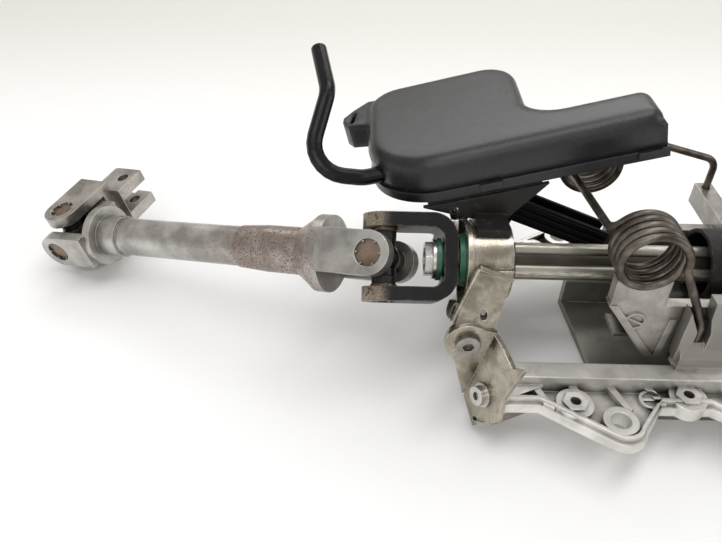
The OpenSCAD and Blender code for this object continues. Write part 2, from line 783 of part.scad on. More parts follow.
// Lug on the far wall that holds the end of the long spring arm
far_hook_x = ring_front + 1;
module spring_lug() translate([far_hook_x - 5.5, guide_in - 8, axis_h - 3])
  cube([11, far_y + 5.5 - guide_in + 8, 14]);

// Ribs, a round mark and a tab on the near wall
module wall_marks() {
  rise = 1.2;
  low = [-guide_front + 30, foot_z + 1];
  extrude_y(-guide_out - rise, -guide_out + eps) {
    polygon([low, low + [5, 0], [-guide_front + 5, axis_h + 2], [-guide_front, axis_h + 2]]);
    polygon([low + [4, 0], low + [8, 0], low + [10, 30], low + [6, 30]]);
    translate([-coil_back + 1, axis_h - 9]) difference() {
      circle(6);
      circle(4.8);
    }
    translate([-coil_back + 1, axis_h - 9]) rotate(-25) square([10.6, 1.4], center = true);
  }
  translate([low[0] - 14, -guide_in + 10, foot_z]) cube([20, 18, sheet_t - 0.5]);
}

module guide_box() color(cast_alu) difference() {
  union() {
    difference() {
      guide_walls();
      translate([-2 * rail_front, -guide_in, guide_floor_z])
        cube([2 * rail_front + ring_front + 2 * eps, guide_gap, 2 * axis_h]);
    }
    spring_seats();
    guide_ring();
    spring_lug();
    wall_marks();
    both_sides() translate([arm_end_x + 37, guide_out - eps, foot_z])
      cube([ring_rear - arm_end_x - 37, foot_out - guide_out + eps, foot_h]);
  }
  translate([far_hook_x, far_y, axis_h]) cylinder(d = wire_d + 2 * slide_gap, h = axis_h);
  translate([-rail_front, 0, guide_floor_z]) cube([rail_front - coil_back + 2, rail_y, axis_h]);
}

// Balance spring: one wire, two coils joined by a bridge across the column

coil_z = axis_h + coil_rise;
bridge_angle = 135;
coil_step = 18;
wire_sides = 8;
// The far coil sits further forward, out and higher than the near one
far_shift = [-12, 26, 4];
function coil_point(a, y) =
  [-coil_back + coil_r * cos(a), y, coil_z + coil_r * sin(a)] + (y > 0 ? far_shift : [0, 0, 0]);

// Points of one coil, from the bridge round to the angle where its arm leaves
function coil_path(side, end_angle) =
  let (sweep = bridge_angle - end_angle + 360 * coil_turns, steps = round(sweep / coil_step))
  [for (i = [0 : steps])
    coil_point(bridge_angle - sweep * i / steps, side * (coil_inner + coil_span * i / steps))];

// Bridge between the coils, on the lines that leave them
bridge_lead = 9;
function bridge_corner(side) = coil_point(bridge_angle, side * coil_inner)
  - bridge_lead * [sin(bridge_angle), 0, -cos(bridge_angle)];
function bridge_half(side) = corner_arc(
  (bridge_corner(-1) + bridge_corner(1)) / 2, bridge_corner(side),
  coil_point(bridge_angle, side * coil_inner), 6, 5
);

near_y = -coil_inner - coil_span;
far_y = coil_inner + coil_span + far_shift[1];
near_arm = rounded_path([
  coil_point(0, near_y) - [0, 0, 3], [arm_end_x, near_y, arm_bend_z],
  [arm_end_x, near_y, slot_floor + slide_gap]
], 14, 4);
far_leave = 75;
far_start = coil_point(far_leave, far_y - far_shift[1]);
far_arm = rounded_path([
  far_start + [sin(far_leave), 0, -cos(far_leave)],
  [far_hook_x, far_y, far_start[2] - (far_hook_x - far_start[0]) * cos(far_leave) / sin(far_leave)],
  [far_hook_x, far_y, axis_h + 1]
], 9, 5);
function reversed(p) = [for (i = [len(p) - 1 : -1 : 0]) p[i]];

module balance_spring() color(spring_steel) swept_rod(
  concat(
    reversed(near_arm), reversed(coil_path(-1, 0)), reversed(bridge_half(-1)),
    bridge_half(1), coil_path(1, far_leave), far_arm
  ),
  wire_d / 2, wire_sides
);

// Guard over the upper joint

// Frame of the guard: its near lower edge along x, its width along y
module in_guard() translate([-guard_back, guard_y, axis_h + guard_rise])
  rotate([0, -guard_pitch, 0]) children();

corner_near = 42;
corner_far = 22;
neck_r = 20;

// Outline of the guard seen from above, drawn in by the inset
module guard_2d(inset) {
  x0 = -cover_front + inset;
  x1 = cover_broad - inset;
  y0 = inset;
  y1 = cover_w - inset;
  near = corner_near - inset;
  far = corner_far - inset;
  neck = neck_r + inset;
  arm_y = arm_w - inset;
  difference() {
    union() {
      translate([x0 + near, y0]) square([x1 - x0 - near, y1 - y0 - far]);
      translate([x0 + far, y1 - far - eps]) square([x1 - x0 - 2 * far, far + eps]);
      translate([x0, y0 + near]) square([near + eps, y1 - y0 - near - far]);
      translate([x0 + near, y0 + near]) circle(near);
      translate([x0 + far, y1 - far]) circle(far);
      translate([x1 - far, y1 - far]) circle(far);
      translate([x1 - eps, y0]) square([cover_arm - cover_broad + eps, arm_y - y0]);
      translate([x1 - eps, arm_y - eps]) square([neck_r + inset + eps, neck_r + inset + eps]);
    }
    translate([x1 + neck, arm_y + neck]) circle(neck);
  }
}

bar_h = tray_h + bar_d / 2 + 0.4;
bar_y = 23;

module guard_tray() color(black_plastic) difference() {
  in_guard() {
    difference() {
      linear_extrude(tray_h) guard_2d(-1.2);
      translate([0, 0, shell_t]) linear_extrude(tray_h) guard_2d(shell_t);
    }
    for (x = tray_post_x) translate([x, tray_post_y, eps]) cylinder(r = 5, h = tray_h - eps);
    for (x = tray_clip_x) translate([x, -3, 1.5]) cube([13, 3, tray_h - 1.5]);
  }
  in_guard() for (x = tray_post_x) translate([x, tray_post_y, -eps])
    cylinder(r = rivet_r + seat_fit, h = 2 * tray_h);
}

// Frame of the lug at the front of the cover
module in_lug() translate([-cover_front, cover_w * 0.63, tray_h]) children();

module guard_cover() color(black_plastic) in_guard() difference() {
  union() {
    translate([0, 0, tray_h]) linear_extrude(cover_h - edge_r + eps) guard_2d(0);
    translate([0, 0, tray_h + cover_h - edge_r]) intersection() {
      minkowski() {
        linear_extrude(0.01) guard_2d(edge_r, $fn = 32);
        sphere(edge_r, $fn = 24);
      }
      translate([-cover_arm, -cover_w, 0]) cube([3 * cover_arm, 3 * cover_w, 2 * edge_r]);
    }
    in_lug() linear_extrude(cover_h - 5)
      polygon([[12, 0], [12, 34], [0, 35], [-10, 26], [-16.5, 18], [-17, 12], [-13, 5], [6, 0]]);
  }
  in_lug() translate([-10, 15, -eps]) linear_extrude(cover_h) rotate(80) slot_2d(11, 1.7);
  translate([0, 0, tray_h - eps]) linear_extrude(cover_h - edge_r + eps) guard_2d(shell_t, $fn = 32);
  translate([0, 0, tray_h + eps]) linear_extrude(cover_h - shell_t - eps) guard_2d(edge_r, $fn = 32);
  translate([-cover_front - eps, bar_y, bar_h]) rotate([0, 90, 0])
    cylinder(d = bar_d + 2 * slide_gap, h = 60, center = true);
}

// Bar held in the guard, bent up and away in front of it
bar_start = [26, bar_y, bar_h];
bar_leave = [-cover_front - 5, bar_y, bar_h];
function from_guard(p) = [
  -guard_back + p[0] * cos(guard_pitch) - p[2] * sin(guard_pitch), guard_y + p[1],
  axis_h + guard_rise + p[0] * sin(guard_pitch) + p[2] * cos(guard_pitch)
];
bar_first = from_guard(bar_leave);
bar_points = [
  from_guard(bar_start), bar_first, bar_first + [-35, -3, 5],
  bar_first + [-22.5, 34, 40], bar_first + [-30, 67, 53]
];
module guard_bar() color(black_paint) swept_rod(rounded_path(bar_points, bar_bend, 7), bar_d / 2, 14);

// Support that carries the guard on the bearing cup
rivet_r = 3;
tray_post_x = [6, 34];
tray_post_y = 7;
tray_clip_x = [-cover_front + 62, cover_arm - 16];
support_y = 11;
function guard_under(x) = axis_h + guard_rise + (x + guard_back) * tan(guard_pitch);

module guard_support() color(dark_steel) difference() {
  union() {
    extrude_x(cup_front + 2, cup_back - 2) difference() {
      translate([-6, axis_h + cup_r - 5]) square([22, 9]);
      translate([0, axis_h]) circle(cup_r + seat_fit);
    }
    extrude_y(support_y, support_y + sheet_t) polygon([
      [cup_front + 2, axis_h + cup_r], [cup_back - 2, axis_h + cup_r],
      [-guard_back + 58, guard_under(-guard_back + 58) - 2],
      [-guard_back - 12, guard_under(-guard_back - 12) - 2]
    ]);
    in_guard() translate([-10, 0, -sheet_t]) cube([66, 20, sheet_t]);
  }
  in_guard() for (x = tray_post_x) translate([x, tray_post_y, -2 * sheet_t])
    cylinder(r = rivet_r + seat_fit, h = 3 * sheet_t);
  extrude_y(0, cover_w) translate([-guard_back + 6, guard_under(-guard_back + 6) - 8]) circle(2.6);
}

module guard_rivets() color(steel) in_guard() for (x = tray_post_x) translate([x, tray_post_y, 0]) {
  translate([0, 0, -sheet_t - 1.8]) cylinder(r = rivet_r + 2, h = 1.8);
  translate([0, 0, -sheet_t - 1]) cylinder(r = rivet_r, h = sheet_t + tray_h + 1);
  translate([0, 0, tray_h]) cylinder(r = rivet_r + 0.8, h = 1.5);
}

// Channel behind the shaft that guides the wiring
module cable_guide() color(black_plastic) {
  len = 66;
  w = 15;
  h = 15;
  translate([cup_back + 1, cup_r + 4, axis_h + 13]) rotate([0, 22, 0]) difference() {
    union() {
      cube([len, w, h]);
      for (i = [0 : 2]) translate([eps, -1.2, 3 + 4.4 * i]) cube([len - 2 * eps, 2, 1.8]);
      translate([-9, -8, 2]) cube([9 + eps, 12, 4]);
    }
    translate([-eps, 2.5, 2.5]) cube([len + 2 * eps, w - 5, h]);
  }
}

// Clamp and lever, stacked outwards on the far cheek

stack_y = cheek_out + slide_gap;
cam_gap = slide_gap;
lever_y = stack_y + 2 * cam_t + 2 * cam_gap;
nut_y = lever_y + lever_t + cam_gap;

module clamp_bolt() color(steel) difference() {
  union() {
    along_y(clamp_x, -cheek_out - slide_gap - 7, clamp_z, clamp_d / 2 + 5, 7);
    along_y(clamp_x, -cheek_out - slide_gap - eps, clamp_z, clamp_d / 2, nut_y + 9 + cheek_out + eps);
  }
  along_y(clamp_x, -cheek_out - slide_gap - 8, clamp_z, 3, 4, $fn = 6);
}

module clamp_nut() color(steel) difference() {
  translate([clamp_x, nut_y, clamp_z]) rotate([-90, 0, 0]) cylinder(r = clamp_d / 2 + 4.6, h = 8, $fn = 6);
  along_y(clamp_x, 0, clamp_z, clamp_d / 2 + seat_fit, 3 * rail_gap);
}

// A cam disc with three flat-topped risers on one face
module cam_disc(y0, rising) difference() {
  along_y(clamp_x, y0, clamp_z, cam_d / 2, cam_t);
  along_y(clamp_x, 0, clamp_z, clamp_d / 2 + run_fit, 3 * rail_gap);
  for (i = [0 : 2]) translate([clamp_x, y0 + (rising ? cam_t : 0), clamp_z]) rotate([0, 120 * i, 0])
    translate([cam_d * 0.36, 0, 0]) cube([cam_d * 0.2, 2, cam_d * 0.3], center = true);
}

module fixed_cam() color(bright) cam_disc(stack_y, true);
module lever_cam() color(bright) cam_disc(stack_y + cam_t + cam_gap, false);

module in_lever() translate([clamp_x, 0, clamp_z]) rotate([0, -lever_rise, 0]) children();

module lever_arm() color(dark_steel) in_lever() extrude_y(lever_y, lever_y + lever_t) difference() {
  union() {
    circle(cam_d / 2);
    polygon([
      [-cam_d * 0.3, -cam_d * 0.36], [lever_len, -9], [lever_len + grip_len * 0.6, -6],
      [lever_len + grip_len * 0.6, 6], [lever_len, 9], [-cam_d * 0.3, cam_d * 0.36]
    ]);
  }
  circle(clamp_d / 2 + run_fit);
}

module lever_grip() color(black_plastic) in_lever() {
  mid = lever_y + lever_t / 2;
  x0 = lever_len;
  x1 = lever_len + grip_len;
  difference() {
    extrude_y(mid - grip_t / 2, mid + grip_t / 2) round_box(x0, -grip_w / 2, x1, grip_w / 2, 9);
    extrude_y(lever_y - seat_fit, lever_y + lever_t + seat_fit)
      polygon([
        [x0 - 1, -9.3], [x0 + grip_len * 0.6 + 0.2, -6.3], [x0 + grip_len * 0.6 + 0.2, 6.3], [x0 - 1, 9.3]
      ]);
  }
}

// Jacket tube, upper bearing and lock housing

jacket_in = jacket_r - jacket_wall;
upper_ring_x = jacket_rear - 4 - upper_ring_w;

module jacket_tube() color(dark_steel) ring_x(jacket_front, jacket_rear, jacket_in, jacket_r);

module upper_bearing_outer() color(bright)
  bearing_outer(upper_ring_x, upper_ring_w, wheel_journal_d / 2, jacket_in - seat_fit);
module upper_bearing_inner() color(bright)
  bearing_inner(upper_ring_x, upper_ring_w, wheel_journal_d / 2 + seat_fit, jacket_in - seat_fit);
module upper_bearing_balls() color(bright)
  bearing_balls(upper_ring_x, upper_ring_w, wheel_journal_d / 2, jacket_in - seat_fit);

lock_x1 = jacket_rear - lock_set;
lock_x0 = lock_x1 - lock_len;
lock_bolt_x = [lock_x0 + 9, lock_x1 - 9];
lock_split = 1.5;
lock_ear_y = jacket_r + 4;

module lock_housing() color(cast_alu) difference() {
  extrude_x(lock_x0, lock_x1) difference() {
    union() {
      translate([0, axis_h]) circle(jacket_r + 7);
      round_box(-jacket_r - lock_reach, axis_h - lock_h / 2, -jacket_r + 6, axis_h + lock_h / 2, 6);
      translate([0, axis_h - 9]) square([lock_ear_y + 13, 18]);
    }
    translate([0, axis_h]) circle(jacket_r + seat_fit);
    translate([0, axis_h - lock_split]) square([2 * jacket_r, 2 * lock_split]);
  }
  for (x = lock_bolt_x) translate([x, lock_ear_y + 7, 0]) cylinder(r = 3 + seat_fit, h = 2 * axis_h);
}

module lock_bolts() color(steel) for (x = lock_bolt_x) translate([x, lock_ear_y + 7, axis_h]) {
  translate([0, 0, -9]) cylinder(r = 3, h = 18 + eps);
  translate([0, 0, 9]) cylinder(r = 5.2, h = 5, $fn = 6);
}

// Shafts

stub_r = 7;
stub_len = 9.5;
yoke_round = 15;
lobe_r = shaft_d * 0.17;
lobe_turn = 0;

// Section of the fluted shaft: four round lobes on a core, grown by the gap
module lobed_2d(gap) {
  circle(shaft_d * 0.37 + gap);
  for (i = [0 : 3]) rotate(lobe_turn + 90 * i) translate([shaft_d / 2 - lobe_r, 0]) circle(lobe_r + gap);
}

module column_shaft() color(steel) {
  extrude_x(-flute_front, flute_rear) translate([0, axis_h]) lobed_2d(0);
  at_axis(fork_back) cylinder(d = journal_d, h = -flute_front + eps - fork_back);
  at_axis(fork_back - fork_base - stub_len) cylinder(r = stub_r, h = fork_base + stub_len + eps);
}

wheel_tube_front = jacket_front + 28;
wheel_tube_rear = upper_ring_x - 14;
bore_rear = flute_rear + reach_range + 12;
spline_x = jacket_rear + 10;

module wheel_shaft() color(steel) {
  extrude_x(wheel_tube_front, bore_rear) translate([0, axis_h]) difference() {
    circle(d = wheel_tube_d);
    lobed_2d(slide_gap);
  }
  at_axis(bore_rear - eps) cylinder(d = wheel_tube_d, h = wheel_tube_rear - bore_rear + eps);
  at_axis(wheel_tube_rear - eps) cylinder(d = wheel_journal_d, h = spline_x - wheel_tube_rear + eps);
  extrude_x(spline_x - eps, spline_x + spline_len) translate([0, axis_h]) {
    circle(d = spline_d - 1.8);
    for (i = [0 : spline_count - 1]) rotate(360 * i / spline_count)
      polygon([
        [spline_d / 2 - 2, -0.62], [spline_d / 2, -0.22], [spline_d / 2, 0.22], [spline_d / 2 - 2, 0.62]
      ]);
  }
  at_axis(spline_x + spline_len - eps) cylinder(d = wheel_stub_d, h = wheel_stub_len + eps);
}

// Universal joints

// Frames of the joints, each in turn carrying the next
module in_column() translate(joint) rotate([arm_turn, 0, 0]) children();
module in_upper_cross() in_column() rotate([0, upper_swing, 0]) children();
module in_link() in_upper_cross() rotate([0, 0, upper_bend]) children();
module in_lower_fork() in_link() translate([-shaft_len, 0, 0]) rotate([lower_phase, 0, 0]) children();
module in_pinch() in_lower_fork() rotate([0, 0, lower_fold]) children();

// Arms of a fork along y, open towards +x, with bores for the cups
module fork_arms(gap, thick, depth) {
  for (s = [0, 1]) mirror([0, s, 0]) difference() {
    translate([0, gap / 2, 0]) rotate([-90, 0, 0]) linear_extrude(thick) {
      circle(fork_w / 2);
      translate([-depth, -fork_w / 2]) square([depth, fork_w]);
    }
    rotate([-90, 0, 0]) cylinder(r = cap_d / 2 + seat_fit, h = 2 * fork_out);
  }
}

// Bearing cups of one fork, along y, just below its outer faces
cap_sink = 1.5;
cap_floor = 1.6;
module fork_cups(out) for (s = [0, 1]) mirror([0, s, 0]) rotate([-90, 0, 0]) difference() {
  translate([0, 0, out - cap_sink - cap_len]) cylinder(d = cap_d, h = cap_len);
  translate([0, 0, out - cap_sink - cap_len - eps])
    cylinder(r = trunnion_d / 2 + run_fit, h = cap_len - cap_floor + eps);
}

// Cross with four journals, and the seal rings round their roots
module cross_body(out, gap) {
  journal_end = out - cap_sink - cap_floor - 0.3;
  sphere(d = trunnion_d * 1.9);
  for (a = [0, 90]) rotate([90 - a, 0, 0]) {
    cylinder(d = trunnion_d, h = 2 * journal_end, center = true);
    cylinder(d = trunnion_d + 4, h = gap - 13, center = true);
  }
}
module cross_seals(out, gap) for (a = [0 : 90 : 270]) rotate([a, 0, 0])
  translate([0, 0, gap / 2 - 6.3]) difference() {
    cylinder(d = trunnion_d + 4.4, h = out - cap_sink - cap_len - gap / 2 + 6.2);
    translate([0, 0, -eps]) cylinder(d = trunnion_d + 2 * run_fit, h = 9);
  }

// Column fork: a bent bow with round outer corners, its arms along y
module column_yoke() color(black_paint) in_column() difference() {
  intersection() {
    translate([0, 0, -fork_w / 2]) linear_extrude(fork_w) difference() {
      union() {
        translate([-fork_w, -fork_out]) square([fork_w + yoke_depth - yoke_round, 2 * fork_out]);
        round_box(-fork_w, -fork_out, yoke_depth + fork_base, fork_out, yoke_round);
      }
      round_box(-3 * fork_w, -fork_gap / 2, yoke_depth, fork_gap / 2, yoke_round - fork_base);
    }
    rotate([-90, 0, 0]) linear_extrude(4 * fork_out, center = true) {
      circle(fork_w / 2);
      translate([0, -fork_w / 2]) square([2 * yoke_depth, fork_w]);
    }
  }
  rotate([-90, 0, 0]) cylinder(r = cap_d / 2 + seat_fit, h = 4 * fork_out, center = true);
  translate([yoke_depth - eps, 0, 0]) rotate([0, 90, 0])
    cylinder(r = stub_r + seat_fit, h = fork_base + 2 * eps);
}

module column_yoke_cups() color(steel) in_column() fork_cups(fork_out);

// Spacer ring, washer and nut inside the column fork
spacer_t = 4;
washer_t = 2.2;
nut_t = 4.5;
module yoke_stack(t, back) in_column() translate([yoke_depth - back - t, 0, 0]) rotate([0, 90, 0]) children();

module yoke_spacer() color(seal_green) yoke_stack(spacer_t, 0) difference() {
  union() {
    cylinder(r = fork_gap / 2 - yoke_round + fork_base - slide_gap, h = spacer_t);
    cylinder(r = fork_w / 2 - 0.4, h = spacer_t - 1.2);
  }
  translate([0, 0, -eps]) cylinder(r = stub_r + seat_fit, h = spacer_t + 2 * eps);
}

module yoke_nut() color(bright) difference() {
  union() {
    yoke_stack(washer_t, spacer_t) cylinder(r = fork_w / 2 - 1.2, h = washer_t);
    yoke_stack(nut_t, spacer_t + washer_t) cylinder(r = stub_r + 4, h = nut_t + eps, $fn = 6);
  }
  yoke_stack(nut_t, spacer_t + washer_t) translate([0, 0, -eps])
    cylinder(r = stub_r + seat_fit, h = nut_t + washer_t + 2 * eps);
}

module upper_cross() color(steel) in_upper_cross() cross_body(fork_out, fork_gap);
module upper_cross_seals() color(rubber) in_upper_cross() cross_seals(fork_out, fork_gap);

// Bell-shaped fork and shaft tube, along -x from the upper joint, arms along z
bell_x = -fork_depth - bell_len;
module shaft_tube() color(steel) in_link() {
  rotate([90, 0, 0]) fork_arms(fork_gap, fork_t, fork_depth + 4);
  difference() {
    union() {
      translate([bell_x - 8, 0, 0]) rotate([0, 90, 0]) {
        cylinder(d1 = tube_d + 2, d2 = bell_d, h = 12);
        translate([0, 0, 12 - eps]) cylinder(d = bell_d, h = bell_len - 8 + eps);
      }
      translate([-tube_mouth + mouth_taper, 0, 0]) rotate([0, 90, 0])
        cylinder(d = tube_d, h = tube_mouth - mouth_taper - fork_depth - 5);
      translate([-tube_mouth, 0, 0]) rotate([0, 90, 0])
        cylinder(d1 = inner_d + 1.6, d2 = tube_d, h = mouth_taper + eps);
    }
    sphere(r = fork_depth + 1.5);
    translate([-tube_mouth - eps, 0, 0]) rotate([0, 90, 0])
      cylinder(r = inner_d / 2 + tube_fit, h = tube_mouth + bell_x + eps);
  }
}
module shaft_tube_cups() color(steel) in_link() rotate([90, 0, 0]) fork_cups(fork_out);

// Inner shaft with its neck and the lower fork
inner_end = -bell_x + telescope_range + 2;
module inner_shaft() color(bright) in_lower_fork() {
  base_t = 6;
  mirror([1, 0, 0]) fork_arms(lower_gap, lower_t, lower_depth + eps);
  translate([lower_depth, 0, 0]) rotate([0, 90, 0]) {
    cylinder(d = lower_base_d, h = base_t);
    translate([0, 0, base_t - eps]) cylinder(d = neck_d, h = neck_len);
    translate([0, 0, base_t + neck_len - 2 * eps])
      cylinder(d = inner_d, h = shaft_len - lower_depth - base_t - neck_len - inner_end + 2 * eps);
  }
}
module inner_shaft_cups() color(steel) in_lower_fork() fork_cups(lower_out);

module lower_cross() color(steel) in_lower_fork() cross_body(lower_out, lower_gap);
module lower_cross_seals() color(rubber) in_lower_fork() cross_seals(lower_out, lower_gap);

// Pinch yoke: fork arms along z, a hub along -x with a slot open towards its side
pinch_back = lower_depth + fork_base;
pinch_end = pinch_back + pinch_hub_len;
pinch_hole_x = -pinch_back - pinch_hub_len * 0.58;
pinch_hole_y = pinch_bore_d / 2 + pinch_bolt_d / 2 - 1;

module pinch_yoke() color(bright) in_pinch() difference() {
  union() {
    rotate([90, 0, 0]) fork_arms(lower_gap, lower_t, lower_depth + eps);
    translate([-pinch_back, -fork_w / 2, -lower_out]) cube([fork_base, fork_w, 2 * lower_out]);
    translate([-pinch_end, 0, 0]) rotate([90, 0, 90]) linear_extrude(pinch_hub_len + eps) {
      circle(pinch_hub_w / 2);
      translate([0, -pinch_hub_w / 2]) square([pinch_hub_h - pinch_hub_w / 2, pinch_hub_w]);
    }
  }
  translate([-pinch_end - eps, 0, 0]) rotate([0, 90, 0])
    cylinder(d = pinch_bore_d, h = pinch_hub_len + fork_base + 3 * eps);
  translate([-pinch_end - eps, 0, -pinch_slot / 2]) cube([pinch_hub_len + eps, pinch_hub_h, pinch_slot]);
  translate([pinch_hole_x, pinch_hole_y, -pinch_hub_w]) cylinder(d = pinch_bolt_d + 0.6, h = 2 * pinch_hub_w);
}
module pinch_yoke_cups() color(steel) in_pinch() rotate([90, 0, 0]) fork_cups(lower_out);

console();
pivot_bracket_right();
pivot_bracket_left();
bracket_screws();
pivot_bolts();
swing_bracket();
bearing_plate();
dust_seal();
front_bearing_outer();
front_bearing_balls();
link_strap();
guide_box();
balance_spring();
guard_support();
guard_tray();
guard_cover();
guard_bar();
cable_guide();
guard_rivets();
clamp_bolt();
clamp_nut();
fixed_cam();
lever_cam();
lever_arm();
lever_grip();
jacket_tube();
upper_bearing_outer();
upper_bearing_balls();
lock_housing();
lock_bolts();
wheel_shaft();
upper_bearing_inner();
column_shaft();
column_yoke();
column_yoke_cups();
yoke_spacer();
yoke_nut();
front_bearing_inner();
upper_cross();
upper_cross_seals();
shaft_tube();
shaft_tube_cups();
inner_shaft();
inner_shaft_cups();
lower_cross();
lower_cross_seals();
pinch_yoke();
pinch_yoke_cups();
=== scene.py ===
# Finishes, spring wire and stage for the steering column, in metres and degrees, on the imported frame

import math

import bpy
from mathutils import Matrix, Vector


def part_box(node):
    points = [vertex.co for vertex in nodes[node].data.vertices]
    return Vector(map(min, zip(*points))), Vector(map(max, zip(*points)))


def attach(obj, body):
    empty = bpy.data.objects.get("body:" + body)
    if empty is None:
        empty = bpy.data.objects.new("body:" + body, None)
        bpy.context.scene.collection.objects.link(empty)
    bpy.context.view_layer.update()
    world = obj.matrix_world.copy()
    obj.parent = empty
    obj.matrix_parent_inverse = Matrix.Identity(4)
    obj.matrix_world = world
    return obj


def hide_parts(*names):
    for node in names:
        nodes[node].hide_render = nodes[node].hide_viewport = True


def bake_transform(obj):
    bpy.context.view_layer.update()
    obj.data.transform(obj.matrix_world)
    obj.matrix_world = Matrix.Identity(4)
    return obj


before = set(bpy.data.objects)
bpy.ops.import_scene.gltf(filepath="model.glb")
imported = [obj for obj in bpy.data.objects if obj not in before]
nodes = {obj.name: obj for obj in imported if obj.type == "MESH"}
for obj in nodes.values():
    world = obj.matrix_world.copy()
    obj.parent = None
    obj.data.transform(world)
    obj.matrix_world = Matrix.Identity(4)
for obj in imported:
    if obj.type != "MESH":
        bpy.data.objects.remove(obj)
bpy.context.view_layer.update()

# Places on the part, repeated from the solids
AXIS_Z = 0.052
JOINT = Vector((-0.177, 0.0, AXIS_Z))
ARM_TURN = 45.0
UPPER_SWING = -23.4
UPPER_BEND = -6.1
LOWER_PHASE = -40.5
LOWER_FOLD = -95.0
SHAFT_LEN = 0.245
FLOOR_Z = -0.026


def turn(axis, degrees):
    return Matrix.Rotation(math.radians(degrees), 4, axis)


# Frames of the four forks, each with its joint at the origin
COLUMN_FRAME = Matrix.Translation(JOINT) @ turn("X", ARM_TURN)
LINK_FRAME = COLUMN_FRAME @ turn("Y", UPPER_SWING) @ turn("Z", UPPER_BEND)
LOWER_FRAME = LINK_FRAME @ Matrix.Translation((-SHAFT_LEN, 0, 0)) @ turn("X", LOWER_PHASE)
PINCH_FRAME = LOWER_FRAME @ turn("Z", LOWER_FOLD)
SHAFT_DIR = -(LINK_FRAME.to_3x3() @ Vector((1, 0, 0)))


# Node trees: one method for any node, and a wrapper round a socket with operators


class Builder:
    """A node tree under construction."""

    def __init__(self, tree):
        self.tree = tree

    def node(self, kind, settings=None, **sockets):
        """Adds a node, sets its settings first and then its sockets, and gives its outputs.

        A socket goes by its name, with _ for a blank, or by its number, as in i0.
        """
        node = self.tree.nodes.new(kind)
        for key, value in (settings or {}).items():
            setattr(node, key, value)
        for key, value in sockets.items():
            numbered = key[0] == "i" and key[1:].isdigit()
            self.plug(value, node.inputs[int(key[1:]) if numbered else key.replace("_", " ")])
        return node.outputs

    def plug(self, value, slot):
        """Links a value that is a socket and sets any other; a colour gets its alpha here."""
        if isinstance(value, Value):
            value = value.socket
        if isinstance(value, bpy.types.NodeSocket):
            self.tree.links.new(value, slot)
        elif slot.type == "RGBA":
            slot.default_value = (*value, 1.0)
        else:
            slot.default_value = value


class Value:
    """A shader socket with operators, so that masks and sums are written as expressions."""

    def __init__(self, builder, socket):
        self.builder = builder
        self.socket = socket

    def _math(self, operation, a, b, clamp=False):
        settings = {"operation": operation, "use_clamp": clamp}
        return Value(self.builder, self.builder.node("ShaderNodeMath", settings, i0=a, i1=b)[0])

    def __add__(self, other):
        return self._math("ADD", self, other)

    def __mul__(self, other):
        return self._math("MULTIPLY", self, other)

    def __rsub__(self, other):
        return self._math("SUBTRACT", other, self)

    __radd__ = __add__
    __rmul__ = __mul__

    def clip(self):
        return self._math("ADD", self, 0.0, clamp=True)

    def most(self, other):
        return self._math("MAXIMUM", self, other)

    def over(self, lo, hi):
        """0 below lo and 1 above hi, smooth between; it falls instead where lo is above hi."""
        rises = lo < hi
        outputs = self.builder.node(
            "ShaderNodeMapRange",
            {"interpolation_type": "SMOOTHSTEP"},
            Value=self,
            From_Min=min(lo, hi),
            From_Max=max(lo, hi),
            To_Min=0.0 if rises else 1.0,
            To_Max=1.0 if rises else 0.0,
        )
        return Value(self.builder, outputs[0])


